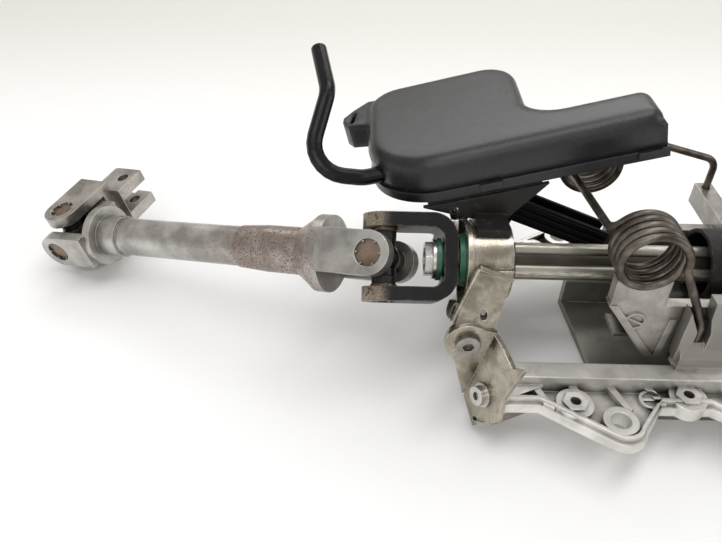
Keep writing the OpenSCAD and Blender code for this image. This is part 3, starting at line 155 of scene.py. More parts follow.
class Paint(Builder):
    """A material under construction: coordinates, noises, colour mixes and the shader."""

    EDGE_TURN = (0.97, 0.75)

    def __init__(self, name):
        self.mat = bpy.data.materials.new(name)
        self.mat.use_nodes = True
        super().__init__(self.mat.node_tree)
        self.shader = next(n for n in self.tree.nodes if n.type == "BSDF_PRINCIPLED")
        self.coord = self.node("ShaderNodeTexCoord")["Object"]

    def noise(self, scale, detail=3.0, rough=0.55, stretch=None, distort=0.0):
        """Noise of that many features to the metre; stretch scales the coordinates per axis."""
        place = self.coord
        if stretch is not None:
            place = self.node("ShaderNodeMapping", {"vector_type": "POINT"}, Vector=place, Scale=stretch)[0]
        outputs = self.node(
            "ShaderNodeTexNoise", Vector=place, Scale=scale, Detail=detail, Roughness=rough, Distortion=distort
        )
        return Value(self, outputs[0])

    def cells(self, scale):
        """Distance from the nearest of scattered points, about that many to the metre."""
        outputs = self.node("ShaderNodeTexVoronoi", {"feature": "F1"}, Vector=self.coord, Scale=scale)
        return Value(self, outputs["Distance"])

    def vector(self, operation, *values):
        sockets = {f"i{number}": value for number, value in enumerate(values)}
        return self.node("ShaderNodeVectorMath", {"operation": operation}, **sockets)

    def axis(self, direction, origin):
        """Distance of the surface along a direction from an origin, in metres."""
        away = self.vector("SUBTRACT", self.coord, origin)["Vector"]
        return Value(self, self.vector("DOT_PRODUCT", away, direction)["Value"])

    def radius(self, direction, origin):
        """Distance of the surface from a line, in metres."""
        away = self.vector("SUBTRACT", self.coord, origin)["Vector"]
        across = self.vector("CROSS_PRODUCT", away, direction)["Vector"]
        return Value(self, self.vector("LENGTH", across)["Value"])

    def rounded_normal(self, radius, samples):
        return self.node("ShaderNodeBevel", {"samples": samples}, Radius=radius)[0]

    def true_normal(self):
        return self.node("ShaderNodeNewGeometry")["Normal"]

    def corners(self, radius):
        """1 along edges, where a rounded normal turns away from the true one."""
        likeness = self.vector("DOT_PRODUCT", self.rounded_normal(radius, 4), self.true_normal())["Value"]
        return Value(self, likeness).over(*self.EDGE_TURN)

    def hollow_shade(self, distance):
        """1 in corners and crevices, 0 in the open; the mask for dirt with painted shade there."""
        outputs = self.node("ShaderNodeAmbientOcclusion", {"samples": 6}, Distance=distance)
        return (1.0 - Value(self, outputs["AO"])).clip()

    def mix(self, a, b, factor):
        """Colour a where the factor is 0 and b where it is 1, by the colour sockets of the Mix node."""
        return Value(self, self.node("ShaderNodeMix", {"data_type": "RGBA"}, i0=factor, i6=a, i7=b)[2])

    def bump(self, height, distance, strength, round_edges=None):
        sockets = {"Height": height, "Distance": distance, "Strength": strength}
        if round_edges is not None:
            sockets["Normal"] = self.rounded_normal(round_edges, 6)
        self.set(Normal=self.node("ShaderNodeBump", **sockets)[0])

    def set(self, **values):
        for key, value in values.items():
            self.plug(value, self.shader.inputs[key.replace("_", " ")])
        return self


def srgb(r, g, b):
    """A colour given as 0 to 255 screen values."""
    return tuple((c / 255 / 12.92) if c <= 10 else ((c / 255 + 0.055) / 1.055) ** 2.4 for c in (r, g, b))


def lighter(base, step):
    """A colour given as screen values and a step up from it."""
    return srgb(*(c + d for c, d in zip(base, step)))


# Colours that finishes share, or that lie on top of a finish
# Dirt with painted shade, mixed into corners and crevices
DIRT_AND_SHADE = srgb(46, 41, 34)
RUST_DARK = srgb(74, 54, 43)
RUST_LIGHT = srgb(122, 95, 77)
RUST_FILM = srgb(146, 131, 120)
CAST_STAIN = srgb(120, 117, 111)
CAST_PIT = srgb(88, 85, 80)
# Trough floor: painted shade with a darker tone of its own
CAST_TROUGH_TONE_AND_SHADE = srgb(112, 107, 98)
# Painted shade on the slab that holds the spring
CAST_SLAB_SHADE = srgb(122, 118, 111)
CAST_RUBBED = srgb(232, 230, 226)
ZINC_STAIN = srgb(104, 84, 58)
ZINC_RUBBED = srgb(228, 221, 206)
STEEL_RUBBED = srgb(226, 222, 214)
FLUTE_RUBBED = srgb(214, 209, 196)
# Darker tone for down in the flute grooves
FLUTE_GROOVE_DARK = srgb(58, 54, 46)
GREASE_THIN = srgb(112, 105, 97)
GREASE_RUBBED = srgb(150, 143, 134)
COAT_RUBBED = srgb(120, 112, 100)
PLASTIC_DUST = srgb(128, 126, 122)
PLASTIC_RUBBED = srgb(70, 70, 72)
WIRE_RUST = srgb(80, 60, 46)
COAT_SCUFF_STEP = (26, 26, 25)
PLASTIC_WIPE_STEP = (9, 9, 10)

# Where finishes change: radii on the fluted shaft, and heights on the console where painted shade begins, with
# the way it fades in
FLUTE_ROOT = 0.0095
FLUTE_CREST = 0.0128
TROUGH_SHADE_TOP = -0.001
TROUGH_SHADE_FADE = -0.003
SLAB_SHADE_FOOT = 0.017
SLAB_SHADE_FADE = 0.003
UP = (0, 0, 1)


def cast_metal(name, base, light, metallic, trough_shade_below=None, slab_shade_above=None):
    """Die cast aluminium: fine grain, flow marks, rubbed edges, and dirt with painted shade in the corners.

    trough_shade_below is the height under which the metal is darkened: painted shade, with a darker tone of
    its own, down in the console's trough.
    slab_shade_above is the height over which the metal is darkened: painted shade, as on the slab that holds
    the spring.
    """
    p = Paint(name)
    flow = p.noise(38, 4, 0.6, distort=0.4)
    patch = p.noise(120, 3)
    grain = p.noise(1900, 2)
    pits = p.cells(900)
    colour = p.mix(base, light, flow.over(0.38, 0.68))
    colour = p.mix(colour, CAST_STAIN, patch.over(0.56, 0.8) * 0.3)
    colour = p.mix(colour, CAST_PIT, pits.over(0.16, 0.05) * patch.over(0.42, 0.6) * 0.6)
    # Dirt and painted shade in corners and crevices
    colour = p.mix(colour, DIRT_AND_SHADE, (p.hollow_shade(0.008).over(0.12, 0.75) * (patch * 0.7 + 0.6)).clip())
    # Below a height the metal darkens: painted shade, with a darker tone of its own, down in the trough
    if trough_shade_below is not None:
        under = p.axis(UP, (0, 0, trough_shade_below)).over(0.0, TROUGH_SHADE_FADE)
        colour = p.mix(colour, CAST_TROUGH_TONE_AND_SHADE, (under * (flow * 0.6 + 0.55)).clip())
    # Over a height the metal darkens: painted shade, as on the slab that holds the spring
    if slab_shade_above is not None:
        raised = p.axis(UP, (0, 0, slab_shade_above)).over(0.0, SLAB_SHADE_FADE)
        colour = p.mix(colour, CAST_SLAB_SHADE, (raised * (flow * 0.4 + 0.6)).clip())
    colour = p.mix(colour, CAST_RUBBED, p.corners(0.0011) * flow.over(0.35, 0.6) * 0.75)
    p.set(Base_Color=colour, Metallic=metallic, Roughness=(grain * 0.16 + flow * 0.2 + 0.16).clip())
    p.bump(grain * 0.6 + patch * 0.9, 0.00022, 0.85, round_edges=0.0011)
    return p.mat


def zinc_sheet(name, base, light):
    """Pressed sheet, zinc plated and yellowed, with dull blotches and scratches."""
    p = Paint(name)
    blotch = p.noise(75, 5, 0.65, distort=0.6)
    fine = p.noise(420, 3)
    scratch = p.noise(260, 2, stretch=(0.25, 1.6, 1.6))
    colour = p.mix(base, light, blotch.over(0.36, 0.64))
    colour = p.mix(colour, ZINC_STAIN, fine.over(0.54, 0.72) * blotch.over(0.6, 0.42) * 0.35)
    # Dirt and painted shade in corners and creases
    colour = p.mix(colour, DIRT_AND_SHADE, (p.hollow_shade(0.01) * 0.8).clip())
    colour = p.mix(colour, ZINC_RUBBED, p.corners(0.0008) * 0.8)
    p.set(Base_Color=colour, Metallic=0.9, Roughness=(blotch * 0.16 + scratch * 0.1 + 0.13).clip())
    p.bump(fine * 0.6 + scratch * 0.6, 0.00012, 0.7, round_edges=0.0007)
    return p.mat


def bare_steel(name, base, light, rough=0.32, rust=0.25, span=None):
    """Machined or forged steel with rust specks.

    span says where along the shaft rust gathers: where it starts, is full, begins to thin out and ends.
    """
    p = Paint(name)
    cloud = p.noise(46, 4, 0.6)
    fine = p.noise(900, 3)
    speck = p.noise(780, 4, 0.7)
    colour = p.mix(base, light, cloud.over(0.35, 0.7))
    # Dirt and painted shade in corners and crevices
    colour = p.mix(colour, DIRT_AND_SHADE, (p.hollow_shade(0.01) * 0.7).clip())
    place = cloud.over(0.5, 0.72)
    if span is not None:
        start, full, thin, end = span
        along = p.axis(SHAFT_DIR, JOINT)
        place = (along.over(start, full) * along.over(end, thin) + place * 0.25).clip()
    spots = speck.over(0.53, 0.6) * place
    film = p.noise(150, 4).over(0.3, 0.62) * place
    rusty = p.mix(RUST_DARK, RUST_LIGHT, fine.over(0.35, 0.65))
    colour = p.mix(colour, RUST_FILM, (film * rust).clip())
    colour = p.mix(colour, rusty, (spots * rust * 1.6).clip())
    colour = p.mix(colour, STEEL_RUBBED, p.corners(0.0007) * 0.55)
    p.set(
        Base_Color=colour,
        Metallic=(spots * -0.75 * min(1.0, rust * 2) + 0.88).clip(),
        Roughness=(cloud * 0.16 + fine * 0.12 + spots * 0.3 + (rough - 0.14)).clip(),
    )
    p.bump(fine * 0.35 + spots * 0.5, 0.00012, 0.6, round_edges=0.0007)
    return p.mat


def fluted_steel(name, base, light):
    """The fluted shaft: worn bright on the lobes, darker down in the grooves."""
    p = Paint(name)
    grease = p.noise(60, 4, stretch=(0.3, 1, 1))
    fine = p.noise(700, 2, stretch=(0.2, 1, 1))
    height = p.radius((1, 0, 0), (0, 0, AXIS_Z)).over(FLUTE_ROOT, FLUTE_CREST)
    colour = p.mix(base, light, grease.over(0.36, 0.66))
    colour = p.mix(colour, FLUTE_RUBBED, height.over(0.9, 1.0) * fine.over(0.35, 0.6) * 0.6)
    # Darker down in the grooves
    colour = p.mix(colour, FLUTE_GROOVE_DARK, (height.over(0.5, 0.0) * (grease * 0.5 + 0.65)).clip())
    p.set(Base_Color=colour, Metallic=0.8, Roughness=(fine * 0.16 + grease * 0.2 + 0.16).clip())
    p.bump(fine, 0.00008, 0.5, round_edges=0.0005)
    return p.mat


def greasy(name, base, light):
    """Forged steel black with old grease, bare here and there."""
    p = Paint(name)
    film = p.noise(130, 4, 0.65, distort=0.5)
    fine = p.noise(900, 2)
    colour = p.mix(base, light, fine.over(0.4, 0.65))
    colour = p.mix(colour, GREASE_THIN, film.over(0.58, 0.72) * 0.6)
    colour = p.mix(colour, GREASE_RUBBED, p.corners(0.0008) * film.over(0.45, 0.6) * 0.5)
    p.set(Base_Color=colour, Metallic=0.5, Roughness=(film * 0.3 + fine * 0.1 + 0.12).clip())
    p.bump(fine * 0.4 + film * 0.6, 0.00015, 0.6, round_edges=0.0007)
    return p.mat


def worn_black(name, base, light, bare, bare_light, wear_from, wear_to):
    """Black paint rubbed to beige metal beyond a place along the column."""
    p = Paint(name)
    chips = p.noise(210, 5, 0.7, distort=0.5)
    fine = p.noise(1100, 2)
    along = p.axis((-1, 0, 0), (0, 0, 0))
    worn = (along.over(wear_from, wear_to) * 0.9 * chips.over(0.3, 0.5)).clip()
    edge = (p.corners(0.0012) * chips.over(0.4, 0.55) * 0.8).clip()
    metal = p.mix(bare, bare_light, fine.over(0.4, 0.6))
    colour = p.mix(base, light, chips.over(0.5, 0.7))
    colour = p.mix(colour, metal, worn.most(edge))
    p.set(Base_Color=colour, Metallic=(worn.most(edge) * 0.8).clip(), Specular_IOR_Level=0.28)
    p.set(Roughness=(fine * 0.2 + chips * 0.22 + 0.12).clip())
    p.bump(fine * 0.4 + chips * 0.5, 0.00012, 0.6, round_edges=0.0009)
    return p.mat


def black_metal(name, base, rough):
    """Black coated rod or plate with light scuffs; base is in screen values."""
    p = Paint(name)
    scuff = p.noise(140, 5, 0.7)
    fine = p.noise(1300, 2)
    colour = p.mix(srgb(*base), lighter(base, COAT_SCUFF_STEP), scuff.over(0.55, 0.72))
    colour = p.mix(colour, COAT_RUBBED, p.corners(0.0008) * scuff.over(0.5, 0.62) * 0.6)
    p.set(Base_Color=colour, Metallic=0.25, Specular_IOR_Level=0.35)
    p.set(Roughness=(scuff * 0.24 + fine * 0.1 + (rough - 0.17)).clip())
    p.bump(fine, 0.00008, 0.6, round_edges=0.0007)
    return p.mat


def moulded(name, base, rough, dust=0.35, gloss=0.5, edge=0.0009):
    """Moulded plastic: satin grain, a little dust on top and rubbed edges; base is in screen values."""
    p = Paint(name)
    fine = p.noise(2400, 2)
    wipe = p.noise(26, 4, 0.6)
    up = Value(p, p.node("ShaderNodeSeparateXYZ", Vector=p.true_normal())["Z"]).over(0.3, 0.95)
    colour = p.mix(srgb(*base), lighter(base, PLASTIC_WIPE_STEP), wipe.over(0.35, 0.7))
    dusty = (up * p.noise(300, 5, 0.7).over(0.55, 0.85) * dust * 0.3).clip()
    colour = p.mix(colour, PLASTIC_DUST, dusty)
    colour = p.mix(colour, PLASTIC_RUBBED, p.corners(0.001) * 0.3)
    p.set(Base_Color=colour, Specular_IOR_Level=gloss)
    p.set(Roughness=(wipe * 0.16 + fine * 0.1 + (rough - 0.13)).clip())
    p.bump(fine, 0.00006, 0.7, round_edges=edge)
    return p.mat


def spring_wire(name, base, light):
    """Oiled spring wire, brown black with rubbed highlights."""
    p = Paint(name)
    cloud = p.noise(90, 4)
    fine = p.noise(800, 3)
    colour = p.mix(base, light, cloud.over(0.38, 0.68))
    colour = p.mix(colour, WIRE_RUST, fine.over(0.58, 0.72) * 0.5)
    p.set(Base_Color=colour, Metallic=0.8, Roughness=(cloud * 0.2 + fine * 0.14 + 0.16).clip())
    p.bump(fine, 0.00008, 0.6)
    return p.mat


# Where rust gathers on the shaft, as distances from the upper joint
TUBE_RUST = (0.028, 0.05, 0.085, 0.135)
INNER_RUST = (0.055, 0.08, 0.09, 0.15)

CAST = cast_metal(
    "die_cast", srgb(206, 203, 198), srgb(238, 235, 230), 0.62, trough_shade_below=TROUGH_SHADE_TOP, slab_shade_above=SLAB_SHADE_FOOT
)
CAST_DULL = cast_metal("die_cast_dull", srgb(142, 138, 132), srgb(182, 178, 172), 0.8)
ZINC = zinc_sheet("zinc_sheet", srgb(146, 139, 125), srgb(184, 177, 163))
STEEL = bare_steel("forged_steel", srgb(120, 116, 111), srgb(172, 168, 162))
TUBE = bare_steel("rusted_tube", srgb(146, 142, 138), srgb(192, 189, 185), rust=0.85, span=TUBE_RUST)
INNER = bare_steel("drawn_shaft", srgb(158, 155, 151), srgb(206, 203, 199), 0.3, rust=0.5, span=INNER_RUST)
YOKE_STEEL = bare_steel("lower_yoke", srgb(150, 146, 141), srgb(204, 200, 194), 0.3, rust=0.35)
BRIGHT = bare_steel("ground_steel", srgb(188, 185, 180), srgb(224, 222, 218), 0.24, rust=0.08)
BRASSY = bare_steel("bearing_cup", srgb(112, 94, 80), srgb(148, 130, 114), rust=0.5)
FLUTED = fluted_steel("fluted_steel", srgb(118, 114, 104), srgb(164, 160, 150))
GREASY = greasy("greasy_steel", srgb(16, 15, 15), srgb(38, 35, 34))
SPRING = spring_wire("spring_wire", srgb(72, 66, 60), srgb(116, 109, 100))
DARK = black_metal("dark_phosphate", (32, 31, 30), 0.44)
ROD = black_metal("black_rod", (14, 14, 16), 0.22)
YOKE_BLACK = worn_black(
    "worn_black", srgb(10, 10, 11), srgb(24, 23, 23), srgb(138, 124, 106), srgb(176, 166, 148), 0.172, 0.186
)
PLASTIC = moulded("satin_plastic", (20, 20, 22), 0.34)
COVER = moulded("cover_plastic", (19, 20, 22), 0.27, edge=0.006)
CHANNEL = moulded("channel_plastic", (7, 7, 9), 0.48, dust=0.1, gloss=0.1)
GREEN = moulded("seal_green", (36, 88, 68), 0.36, dust=0.2)
RUBBER = moulded("seal_rubber", (12, 12, 13), 0.5, dust=0.2)

FINISH = {
    CAST: ("console", "lock_housing"),
    CAST_DULL: ("guide_box",),
    ZINC: ("pivot_bracket_right", "pivot_bracket_left", "swing_bracket", "bearing_plate"),
    STEEL: (
        "pivot_bolts",
        "link_strap",
        "guard_rivets",
        "clamp_bolt",
        "clamp_nut",
        "lock_bolts",
        "wheel_shaft",
    ),
    GREASY: ("upper_cross", "lower_cross"),
    TUBE: ("shaft_tube",),
    INNER: ("inner_shaft",),
    YOKE_STEEL: ("pinch_yoke",),
    BRASSY: ("shaft_tube_cups", "column_yoke_cups", "inner_shaft_cups", "pinch_yoke_cups"),
    BRIGHT: (
        "bracket_screws",
        "front_bearing_outer",
        "front_bearing_inner",
        "front_bearing_balls",
        "upper_bearing_outer",
        "upper_bearing_inner",
        "upper_bearing_balls",
        "yoke_nut",
        "fixed_cam",
        "lever_cam",
    ),
    FLUTED: ("column_shaft",),
    SPRING: ("balance_spring",),
    DARK: ("guard_support", "jacket_tube", "lever_arm"),
    ROD: ("guard_bar",),
    YOKE_BLACK: ("column_yoke",),
    PLASTIC: ("guard_tray", "lever_grip"),
    COVER: ("guard_cover",),
    CHANNEL: ("cable_guide",),
    GREEN: ("dust_seal", "yoke_spacer"),
    RUBBER: ("upper_cross_seals", "lower_cross_seals"),
}
for material, names in FINISH.items():
    for name in names:
        mesh = nodes[name].data
        mesh.materials.clear()
        mesh.materials.append(material)


# Pieces grown by node trees: stakes, ribs and wire


class Tree(Builder):
    """A geometry tree under construction, with named inputs for its sizes."""

    def __init__(self, name, numbers, counts):
        super().__init__(bpy.data.node_groups.new(name, "GeometryNodeTree"))
        face = self.tree.interface
        face.new_socket("Geometry", in_out="OUTPUT", socket_type="NodeSocketGeometry")
        face.new_socket("Path", in_out="INPUT", socket_type="NodeSocketGeometry")
        for label in numbers:
            face.new_socket(label, in_out="INPUT", socket_type="NodeSocketFloat")
        for label in counts:
            face.new_socket(label, in_out="INPUT", socket_type="NodeSocketInt")
        face.new_socket("Finish", in_out="INPUT", socket_type="NodeSocketMaterial")
        self.given = self.node("NodeGroupInput")

    def times(self, a, b):
        return self.node("ShaderNodeMath", {"operation": "MULTIPLY"}, i0=a, i1=b)[0]

    def point(self, x=0.0, y=0.0, z=0.0):
        return self.node("ShaderNodeCombineXYZ", X=x, Y=y, Z=z)[0]

    def join(self, *parts):
        joined = self.tree.nodes.new("GeometryNodeJoinGeometry")
        for part in parts:
            self.plug(part, joined.inputs[0])
        return joined.outputs[0]

    def end(self, shape):
        real = self.node("GeometryNodeRealizeInstances", Geometry=shape)[0]
        done = self.node("GeometryNodeSetMaterial", Geometry=real, Material=self.given["Finish"])[0]
        self.node("NodeGroupOutput", i0=done)
        return self.tree


STAKE_SIDES = 6
STAKE_TAPER = 0.45
RIB_SEGMENTS = 14
RIB_RINGS = 8


def stake_tree():
    """A ring of small punched stakes over each of two bearing cups, which face apart along Z."""
    t = Tree("cup_stakes", ("Ring Radius", "Foot", "Rise", "Reach"), ("Count",))
    ring = t.node("GeometryNodeMeshCircle", Vertices=t.given["Count"], Radius=t.given["Ring Radius"])[0]
    stake = t.node(
        "GeometryNodeMeshCone",
        {"fill_type": "NGON"},
        Vertices=STAKE_SIDES,
        Radius_Top=t.times(t.given["Foot"], STAKE_TAPER),
        Radius_Bottom=t.given["Foot"],
        Depth=t.given["Rise"],
    )["Mesh"]
    stakes = t.node("GeometryNodeInstanceOnPoints", Points=ring, Instance=stake)[0]
    near = t.node("GeometryNodeTransform", Geometry=stakes, Translation=t.point(z=t.given["Reach"]))[0]
    far = t.node("GeometryNodeTransform", Geometry=near, Rotation=(math.pi, 0.0, 0.0))[0]
    return t.end(t.join(near, far))


def rib_tree():
    """Two rows of lens-shaped ribs along X, on the faces of a flat grip."""
    t = Tree("grip_ribs", ("Start", "Pitch", "Length", "Width", "Rise", "Half Thickness"), ("Count",))
    ball = t.node("GeometryNodeMeshUVSphere", Segments=RIB_SEGMENTS, Rings=RIB_RINGS, Radius=0.5)["Mesh"]
    shape = t.point(t.given["Width"], t.times(t.given["Rise"], 2.0), t.given["Length"])
    rib = t.node("GeometryNodeTransform", Geometry=ball, Scale=shape)[0]
    rib = t.node("GeometryNodeSetShadeSmooth", Geometry=rib)[0]
    rows = []
    for side in (1.0, -1.0):
        row = t.node(
            "GeometryNodeMeshLine",
            Count=t.given["Count"],
            Start_Location=t.point(t.given["Start"], t.times(t.given["Half Thickness"], side)),
            Offset=t.point(t.given["Pitch"]),
        )[0]
        rows.append(t.node("GeometryNodeInstanceOnPoints", Points=row, Instance=rib)[0])
    return t.end(t.join(*rows))


def wire_tree():
    """A round wire along a path of points."""
    t = Tree("wound_wire", ("Wire Radius",), ("Sides",))
    path = t.node("GeometryNodeMeshToCurve", Mesh=t.given["Path"])[0]
    ring = t.node(
        "GeometryNodeCurvePrimitiveCircle", Resolution=t.given["Sides"], Radius=t.given["Wire Radius"]
    )[0]
    wire = t.node("GeometryNodeCurveToMesh", Curve=path, Profile_Curve=ring, Fill_Caps=True)[0]
    return t.end(t.node("GeometryNodeSetShadeSmooth", Geometry=wire)[0])


def grow(name, tree, place, slot, material, path=(), **values):
    """Runs a tree with these sizes and sets the result in place as a plain mesh."""
    mesh = bpy.data.meshes.new(name)
    mesh.from_pydata(path, [(i, i + 1) for i in range(len(path) - 1)], [])
    obj = bpy.data.objects.new(name, mesh)
    bpy.context.scene.collection.objects.link(obj)
    modifier = obj.modifiers.new("grow", "NODES")
    modifier.node_group = tree
    values["Finish"] = material
    for item in tree.interface.items_tree:
        if item.in_out == "INPUT" and item.name != "Path":
            modifier[item.identifier] = values[item.name.replace(" ", "_")]
    made = bpy.data.meshes.new_from_object(obj.evaluated_get(bpy.context.evaluated_depsgraph_get()))
    obj.modifiers.remove(modifier)
    made.transform(place)
    obj.data = made
    return obj


# Stakes that hold the bearing cups; BITE is how far a small piece goes into the face it stands on
BITE = 0.0001
CUP_R = 0.008
CUP_SINK = 0.0015
UPPER_OUT = 0.026
LOWER_OUT = 0.022
STAKE_COUNT = 6
STAKE_FOOT = 0.0011
STAKE_RISE = 0.0012
STAKES = stake_tree()
for name, place, out, body in (
    ("column_cup_stakes", COLUMN_FRAME @ turn("X", 90), UPPER_OUT, "steer_shaft"),
    ("tube_cup_stakes", LINK_FRAME, UPPER_OUT, "upper_link"),
    ("inner_cup_stakes", LOWER_FRAME @ turn("X", 90), LOWER_OUT, "lower_link"),
    ("pinch_cup_stakes", PINCH_FRAME, LOWER_OUT, "pinch_end"),
):
    stakes = grow(
        name,
        STAKES,
        place,
        "forged_steel",
        STEEL,
        Count=STAKE_COUNT,
        Foot=STAKE_FOOT,
        Rise=STAKE_RISE,
        Ring_Radius=CUP_R - 0.7 * STAKE_FOOT,
        Reach=out - CUP_SINK + 0.5 * STAKE_RISE - BITE,
    )
    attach(stakes, body)

# Ribs on the grip of the adjusting lever
LEVER_AT = Vector((0.066, 0, 0.089))
LEVER_RISE = 8.0
LEVER_LEN = 0.078
RIB_LEAD = 0.016
grip_low, grip_high = (Vector(c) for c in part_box("lever_grip"))
grip_middle = Vector((0, (grip_low.y + grip_high.y) / 2, 0))
ribs = grow(
    "grip_ribs",
    rib_tree(),
    Matrix.Translation(LEVER_AT + grip_middle) @ turn("Y", -LEVER_RISE),
    "black_plastic",
    PLASTIC,
    Count=7,
    Start=LEVER_LEN + RIB_LEAD,
    Pitch=0.0052,
    Length=0.015,
    Width=0.0026,
    Rise=0.0007,
    Half_Thickness=(grip_high.y - grip_low.y) / 2 - BITE,
)
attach(ribs, "lever")

# Balance spring: the coils move with the column, and the near arm bends from them to its slot in the console
WIRE_R = 0.0023
WIRE_SIDES = 18
COIL_R = 0.0172
COIL_TURNS = 4
COIL_MID = Vector((-0.038, 0, 0.085))
COIL_INNER = 0.0205
COIL_SPAN = 0.0235
FAR_SHIFT = Vector((-0.012, 0.026, 0.004))
NEAR_Y = -COIL_INNER - COIL_SPAN
FAR_Y = COIL_INNER + COIL_SPAN + FAR_SHIFT.y
BRIDGE_ANGLE = 135.0
BRIDGE_LEAD = 0.009
BRIDGE_BEND_R = 0.006
NEAR_LEAVE = 0.0
NEAR_LEAD = 0.003
NEAR_BEND_R = 0.014
ARM_END_X = -0.001
ARM_BEND_Z = 0.044
ARM_END_Z = 0.0333
FAR_LEAVE = 75.0
FAR_LEAD = 0.001
FAR_BEND_R = 0.009
FAR_HOOK_X = 0.037
FAR_END_Z = AXIS_Z + 0.001


def coil_point(angle, y):
    a = math.radians(angle)
    shift = FAR_SHIFT if y > 0 else Vector()
    return COIL_MID + Vector((COIL_R * math.cos(a), y, COIL_R * math.sin(a))) + shift


def coil_tangent(angle):
    a = math.radians(angle)
    return Vector((math.sin(a), 0, -math.cos(a)))


def coil_path(side, end_angle, step=6.0):
    """One coil from the bridge outwards; side is -1 for the near one and 1 for the far one."""
    sweep = BRIDGE_ANGLE - end_angle + 360 * COIL_TURNS
    n = round(sweep / step)
    return [
        coil_point(BRIDGE_ANGLE - sweep * i / n, side * (COIL_INNER + COIL_SPAN * i / n)) for i in range(n + 1)
    ]


def corner_arc(a, b, c, r, n=10):
    """Points of the arc that rounds the corner b between a and c."""
    u = (a - b).normalized()
    w = (c - b).normalized()
    spread = u.angle(w)
    bend = math.pi - spread
    mid = b + (u + w).normalized() * r / math.sin(spread / 2)
    p = b + u * r / math.tan(spread / 2) - mid
    q = b + w * r / math.tan(spread / 2) - mid
    shares = ((math.sin(bend * (1 - k / n)), math.sin(bend * k / n)) for k in range(n + 1))
    return [mid + (first * p + last * q) / math.sin(bend) for first, last in shares]


def bridge_corner(side):
    return coil_point(BRIDGE_ANGLE, side * COIL_INNER) - BRIDGE_LEAD * coil_tangent(BRIDGE_ANGLE)


def bridge_half(side):
    middle = (bridge_corner(-1) + bridge_corner(1)) / 2
    coil_start = coil_point(BRIDGE_ANGLE, side * COIL_INNER)
    return corner_arc(middle, bridge_corner(side), coil_start, BRIDGE_BEND_R)


def stepped(points, step=0.002):
    """The same path with its long stretches cut into short steps."""
    out = [points[0]]
    for a, b in zip(points, points[1:]):
        n = max(1, round((b - a).length / step))
        out += [a.lerp(b, i / n) for i in range(1, n + 1)]
    return out


far_start = coil_point(FAR_LEAVE, FAR_Y - FAR_SHIFT.y)
far_from = far_start + FAR_LEAD * coil_tangent(FAR_LEAVE)
far_drop = (FAR_HOOK_X - far_start.x) / math.tan(math.radians(FAR_LEAVE))
far_bend = Vector((FAR_HOOK_X, FAR_Y, far_start.z - far_drop))
far_end = Vector((FAR_HOOK_X, FAR_Y, FAR_END_Z))
near_start = coil_point(NEAR_LEAVE, NEAR_Y)
near_from = near_start + NEAR_LEAD * coil_tangent(NEAR_LEAVE)
near_bend = Vector((ARM_END_X, NEAR_Y, ARM_BEND_Z))
near_end = Vector((ARM_END_X, NEAR_Y, ARM_END_Z))
coils = coil_path(-1, NEAR_LEAVE)[::-1] + bridge_half(-1)[::-1] + bridge_half(1) + coil_path(1, FAR_LEAVE)
coils += [far_from] + corner_arc(far_from, far_bend, far_end, FAR_BEND_R) + [far_end]
near_arm = [near_start, near_from] + corner_arc(near_from, near_bend, near_end, NEAR_BEND_R) + [near_end]

WIRE = wire_tree()
WIRE_SIZES = {"Wire_Radius": WIRE_R, "Sides": WIRE_SIDES}
wound = grow("spring_coils", WIRE, Matrix(), "spring_steel", SPRING, path=coils, **WIRE_SIZES)
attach(wound, "column")
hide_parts("balance_spring")
bent = grow("spring_near_arm", WIRE, Matrix(), "spring_steel", SPRING, path=stepped(near_arm), **WIRE_SIZES)
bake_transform(bent)
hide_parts("balance_spring")


# Stage: a pale floor with a low wall all round, soft light and the photograph's camera
BOWL_R = 2.6
BOWL_BEND_R = 1.0
BOWL_H = 1.5
BOWL_INNER_R = 0.6
PAPER_WHITE = (0.90, 0.90, 0.90)
PAPER_WARM = (0.70, 0.685, 0.65)


def circle_points(radius, z, count):
    steps = (2 * math.pi * k / count for k in range(count))
    return [(radius * math.cos(a), radius * math.sin(a), z) for a in steps]


def bowl(name, material, around=96, up=12):
    """A round floor whose edge bends up into a low wall on every side."""
    flat_r = BOWL_R - BOWL_BEND_R
    profile = [(BOWL_INNER_R, FLOOR_Z), (flat_r, FLOOR_Z)]
    for i in range(1, up + 1):
        a = math.pi / 2 * i / up
        profile.append((flat_r + BOWL_BEND_R * math.sin(a), FLOOR_Z + BOWL_BEND_R * (1 - math.cos(a))))
    profile.append((BOWL_R, FLOOR_Z + BOWL_H))
    verts = [(0, 0, FLOOR_Z)]
    for r, z in profile:
        verts += circle_points(r, z, around)
    faces = [(0, 1 + k, 1 + (k + 1) % around) for k in range(around)]
    for j in range(len(profile) - 1):
        lower = 1 + j * around
        upper = lower + around
        for k in range(around):
            n = (k + 1) % around
            faces.append((lower + k, upper + k, upper + n, lower + n))
    mesh = bpy.data.meshes.new(name)
    mesh.from_pydata(verts, [], faces)
    mesh.polygons.foreach_set("use_smooth", [True] * len(faces))
    mesh.materials.append(material)
    obj = bpy.data.objects.new(name, mesh)
    bpy.context.scene.collection.objects.link(obj)


def paper(name):
    """White floor, a little warmer and darker up the wall and away at the back."""
    p = Paint(name)
    up = p.axis(UP, (0, 0, FLOOR_Z)).over(0.05, 0.9)
    back = p.axis((0, 1, 0), (0, 0, 0)).over(0.15, 0.7)
    colour = p.mix(PAPER_WHITE, PAPER_WARM, up.most(back))
    return p.set(Base_Color=colour, Roughness=0.85, Specular_IOR_Level=0.1).mat


bowl("floor", paper("paper"))

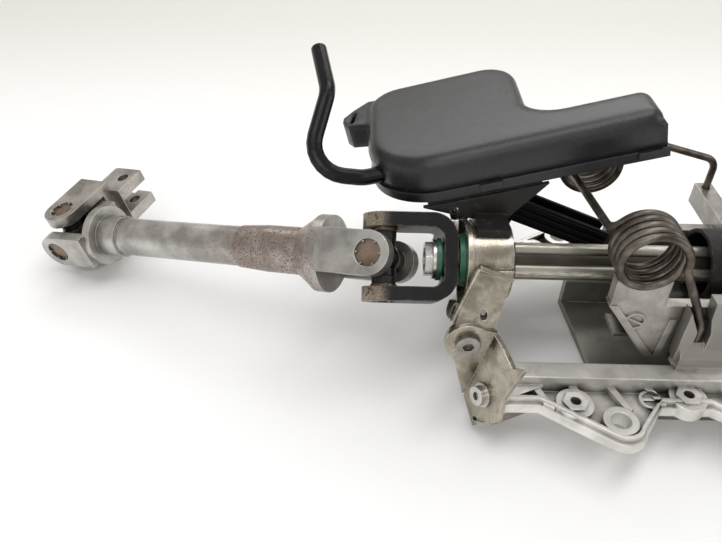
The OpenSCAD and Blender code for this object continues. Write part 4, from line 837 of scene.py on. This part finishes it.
# Lamps: name, place, width and height, and power in watts, all turned to the middle of the part
MIDDLE = Vector((-0.15, 0.0, 0.05))
LAMPS = (
    ("back", (-0.1, 1.5, 1.35), (2.0, 0.9), 13),
    ("overhead", (-0.1, -0.05, 1.5), (1.7, 0.4), 9.5),
    ("front", (-0.6, -1.5, 1.1), (1.2, 0.8), 6),
    ("side", (1.4, -0.3, 0.9), (0.9, 0.9), 5),
)
for name, place, size, power in LAMPS:
    light = bpy.data.lights.new(name, "AREA")
    light.shape = "RECTANGLE"
    light.size, light.size_y = size
    light.energy = power
    lamp = bpy.data.objects.new(name, light)
    lamp.location = place
    lamp.rotation_euler = (MIDDLE - Vector(place)).to_track_quat("-Z", "Y").to_euler()
    bpy.context.scene.collection.objects.link(lamp)

SKY_COLOUR = (1.0, 0.99, 0.97, 1.0)
SKY_STRENGTH = 0.6
world = bpy.data.worlds.new("studio")
bpy.context.scene.world = world
world.use_nodes = True
sky = world.node_tree.nodes["Background"]
sky.inputs["Color"].default_value = SKY_COLOUR
sky.inputs["Strength"].default_value = SKY_STRENGTH

# Camera, fitted to the photograph
CAMERA_AT = Vector((-0.190522, -0.329138, 0.308168))
ELEVATION = math.radians(39.0)
ROLL = math.radians(1.3)
PHOTO_W_PX = 722.0
FOCAL_PX = 700.0
SENSOR_W = 36.0
ahead = Vector((0, math.cos(ELEVATION), -math.sin(ELEVATION)))
right = Vector((1, 0, 0))
up = Vector((0, math.sin(ELEVATION), math.cos(ELEVATION)))
rolled_right = math.cos(ROLL) * right + math.sin(ROLL) * up
rolled_up = -math.sin(ROLL) * right + math.cos(ROLL) * up
lens = bpy.data.cameras.new("camera")
lens.sensor_fit = "HORIZONTAL"
lens.sensor_width = SENSOR_W
lens.lens = SENSOR_W * FOCAL_PX / PHOTO_W_PX
lens.clip_start = 0.01
camera = bpy.data.objects.new("camera", lens)
facing = Matrix((rolled_right, rolled_up, -ahead)).transposed()
camera.matrix_world = Matrix.Translation(CAMERA_AT) @ facing.to_4x4()
bpy.context.scene.collection.objects.link(camera)
bpy.context.scene.camera = camera
bpy.context.scene.view_settings.view_transform = "Standard"
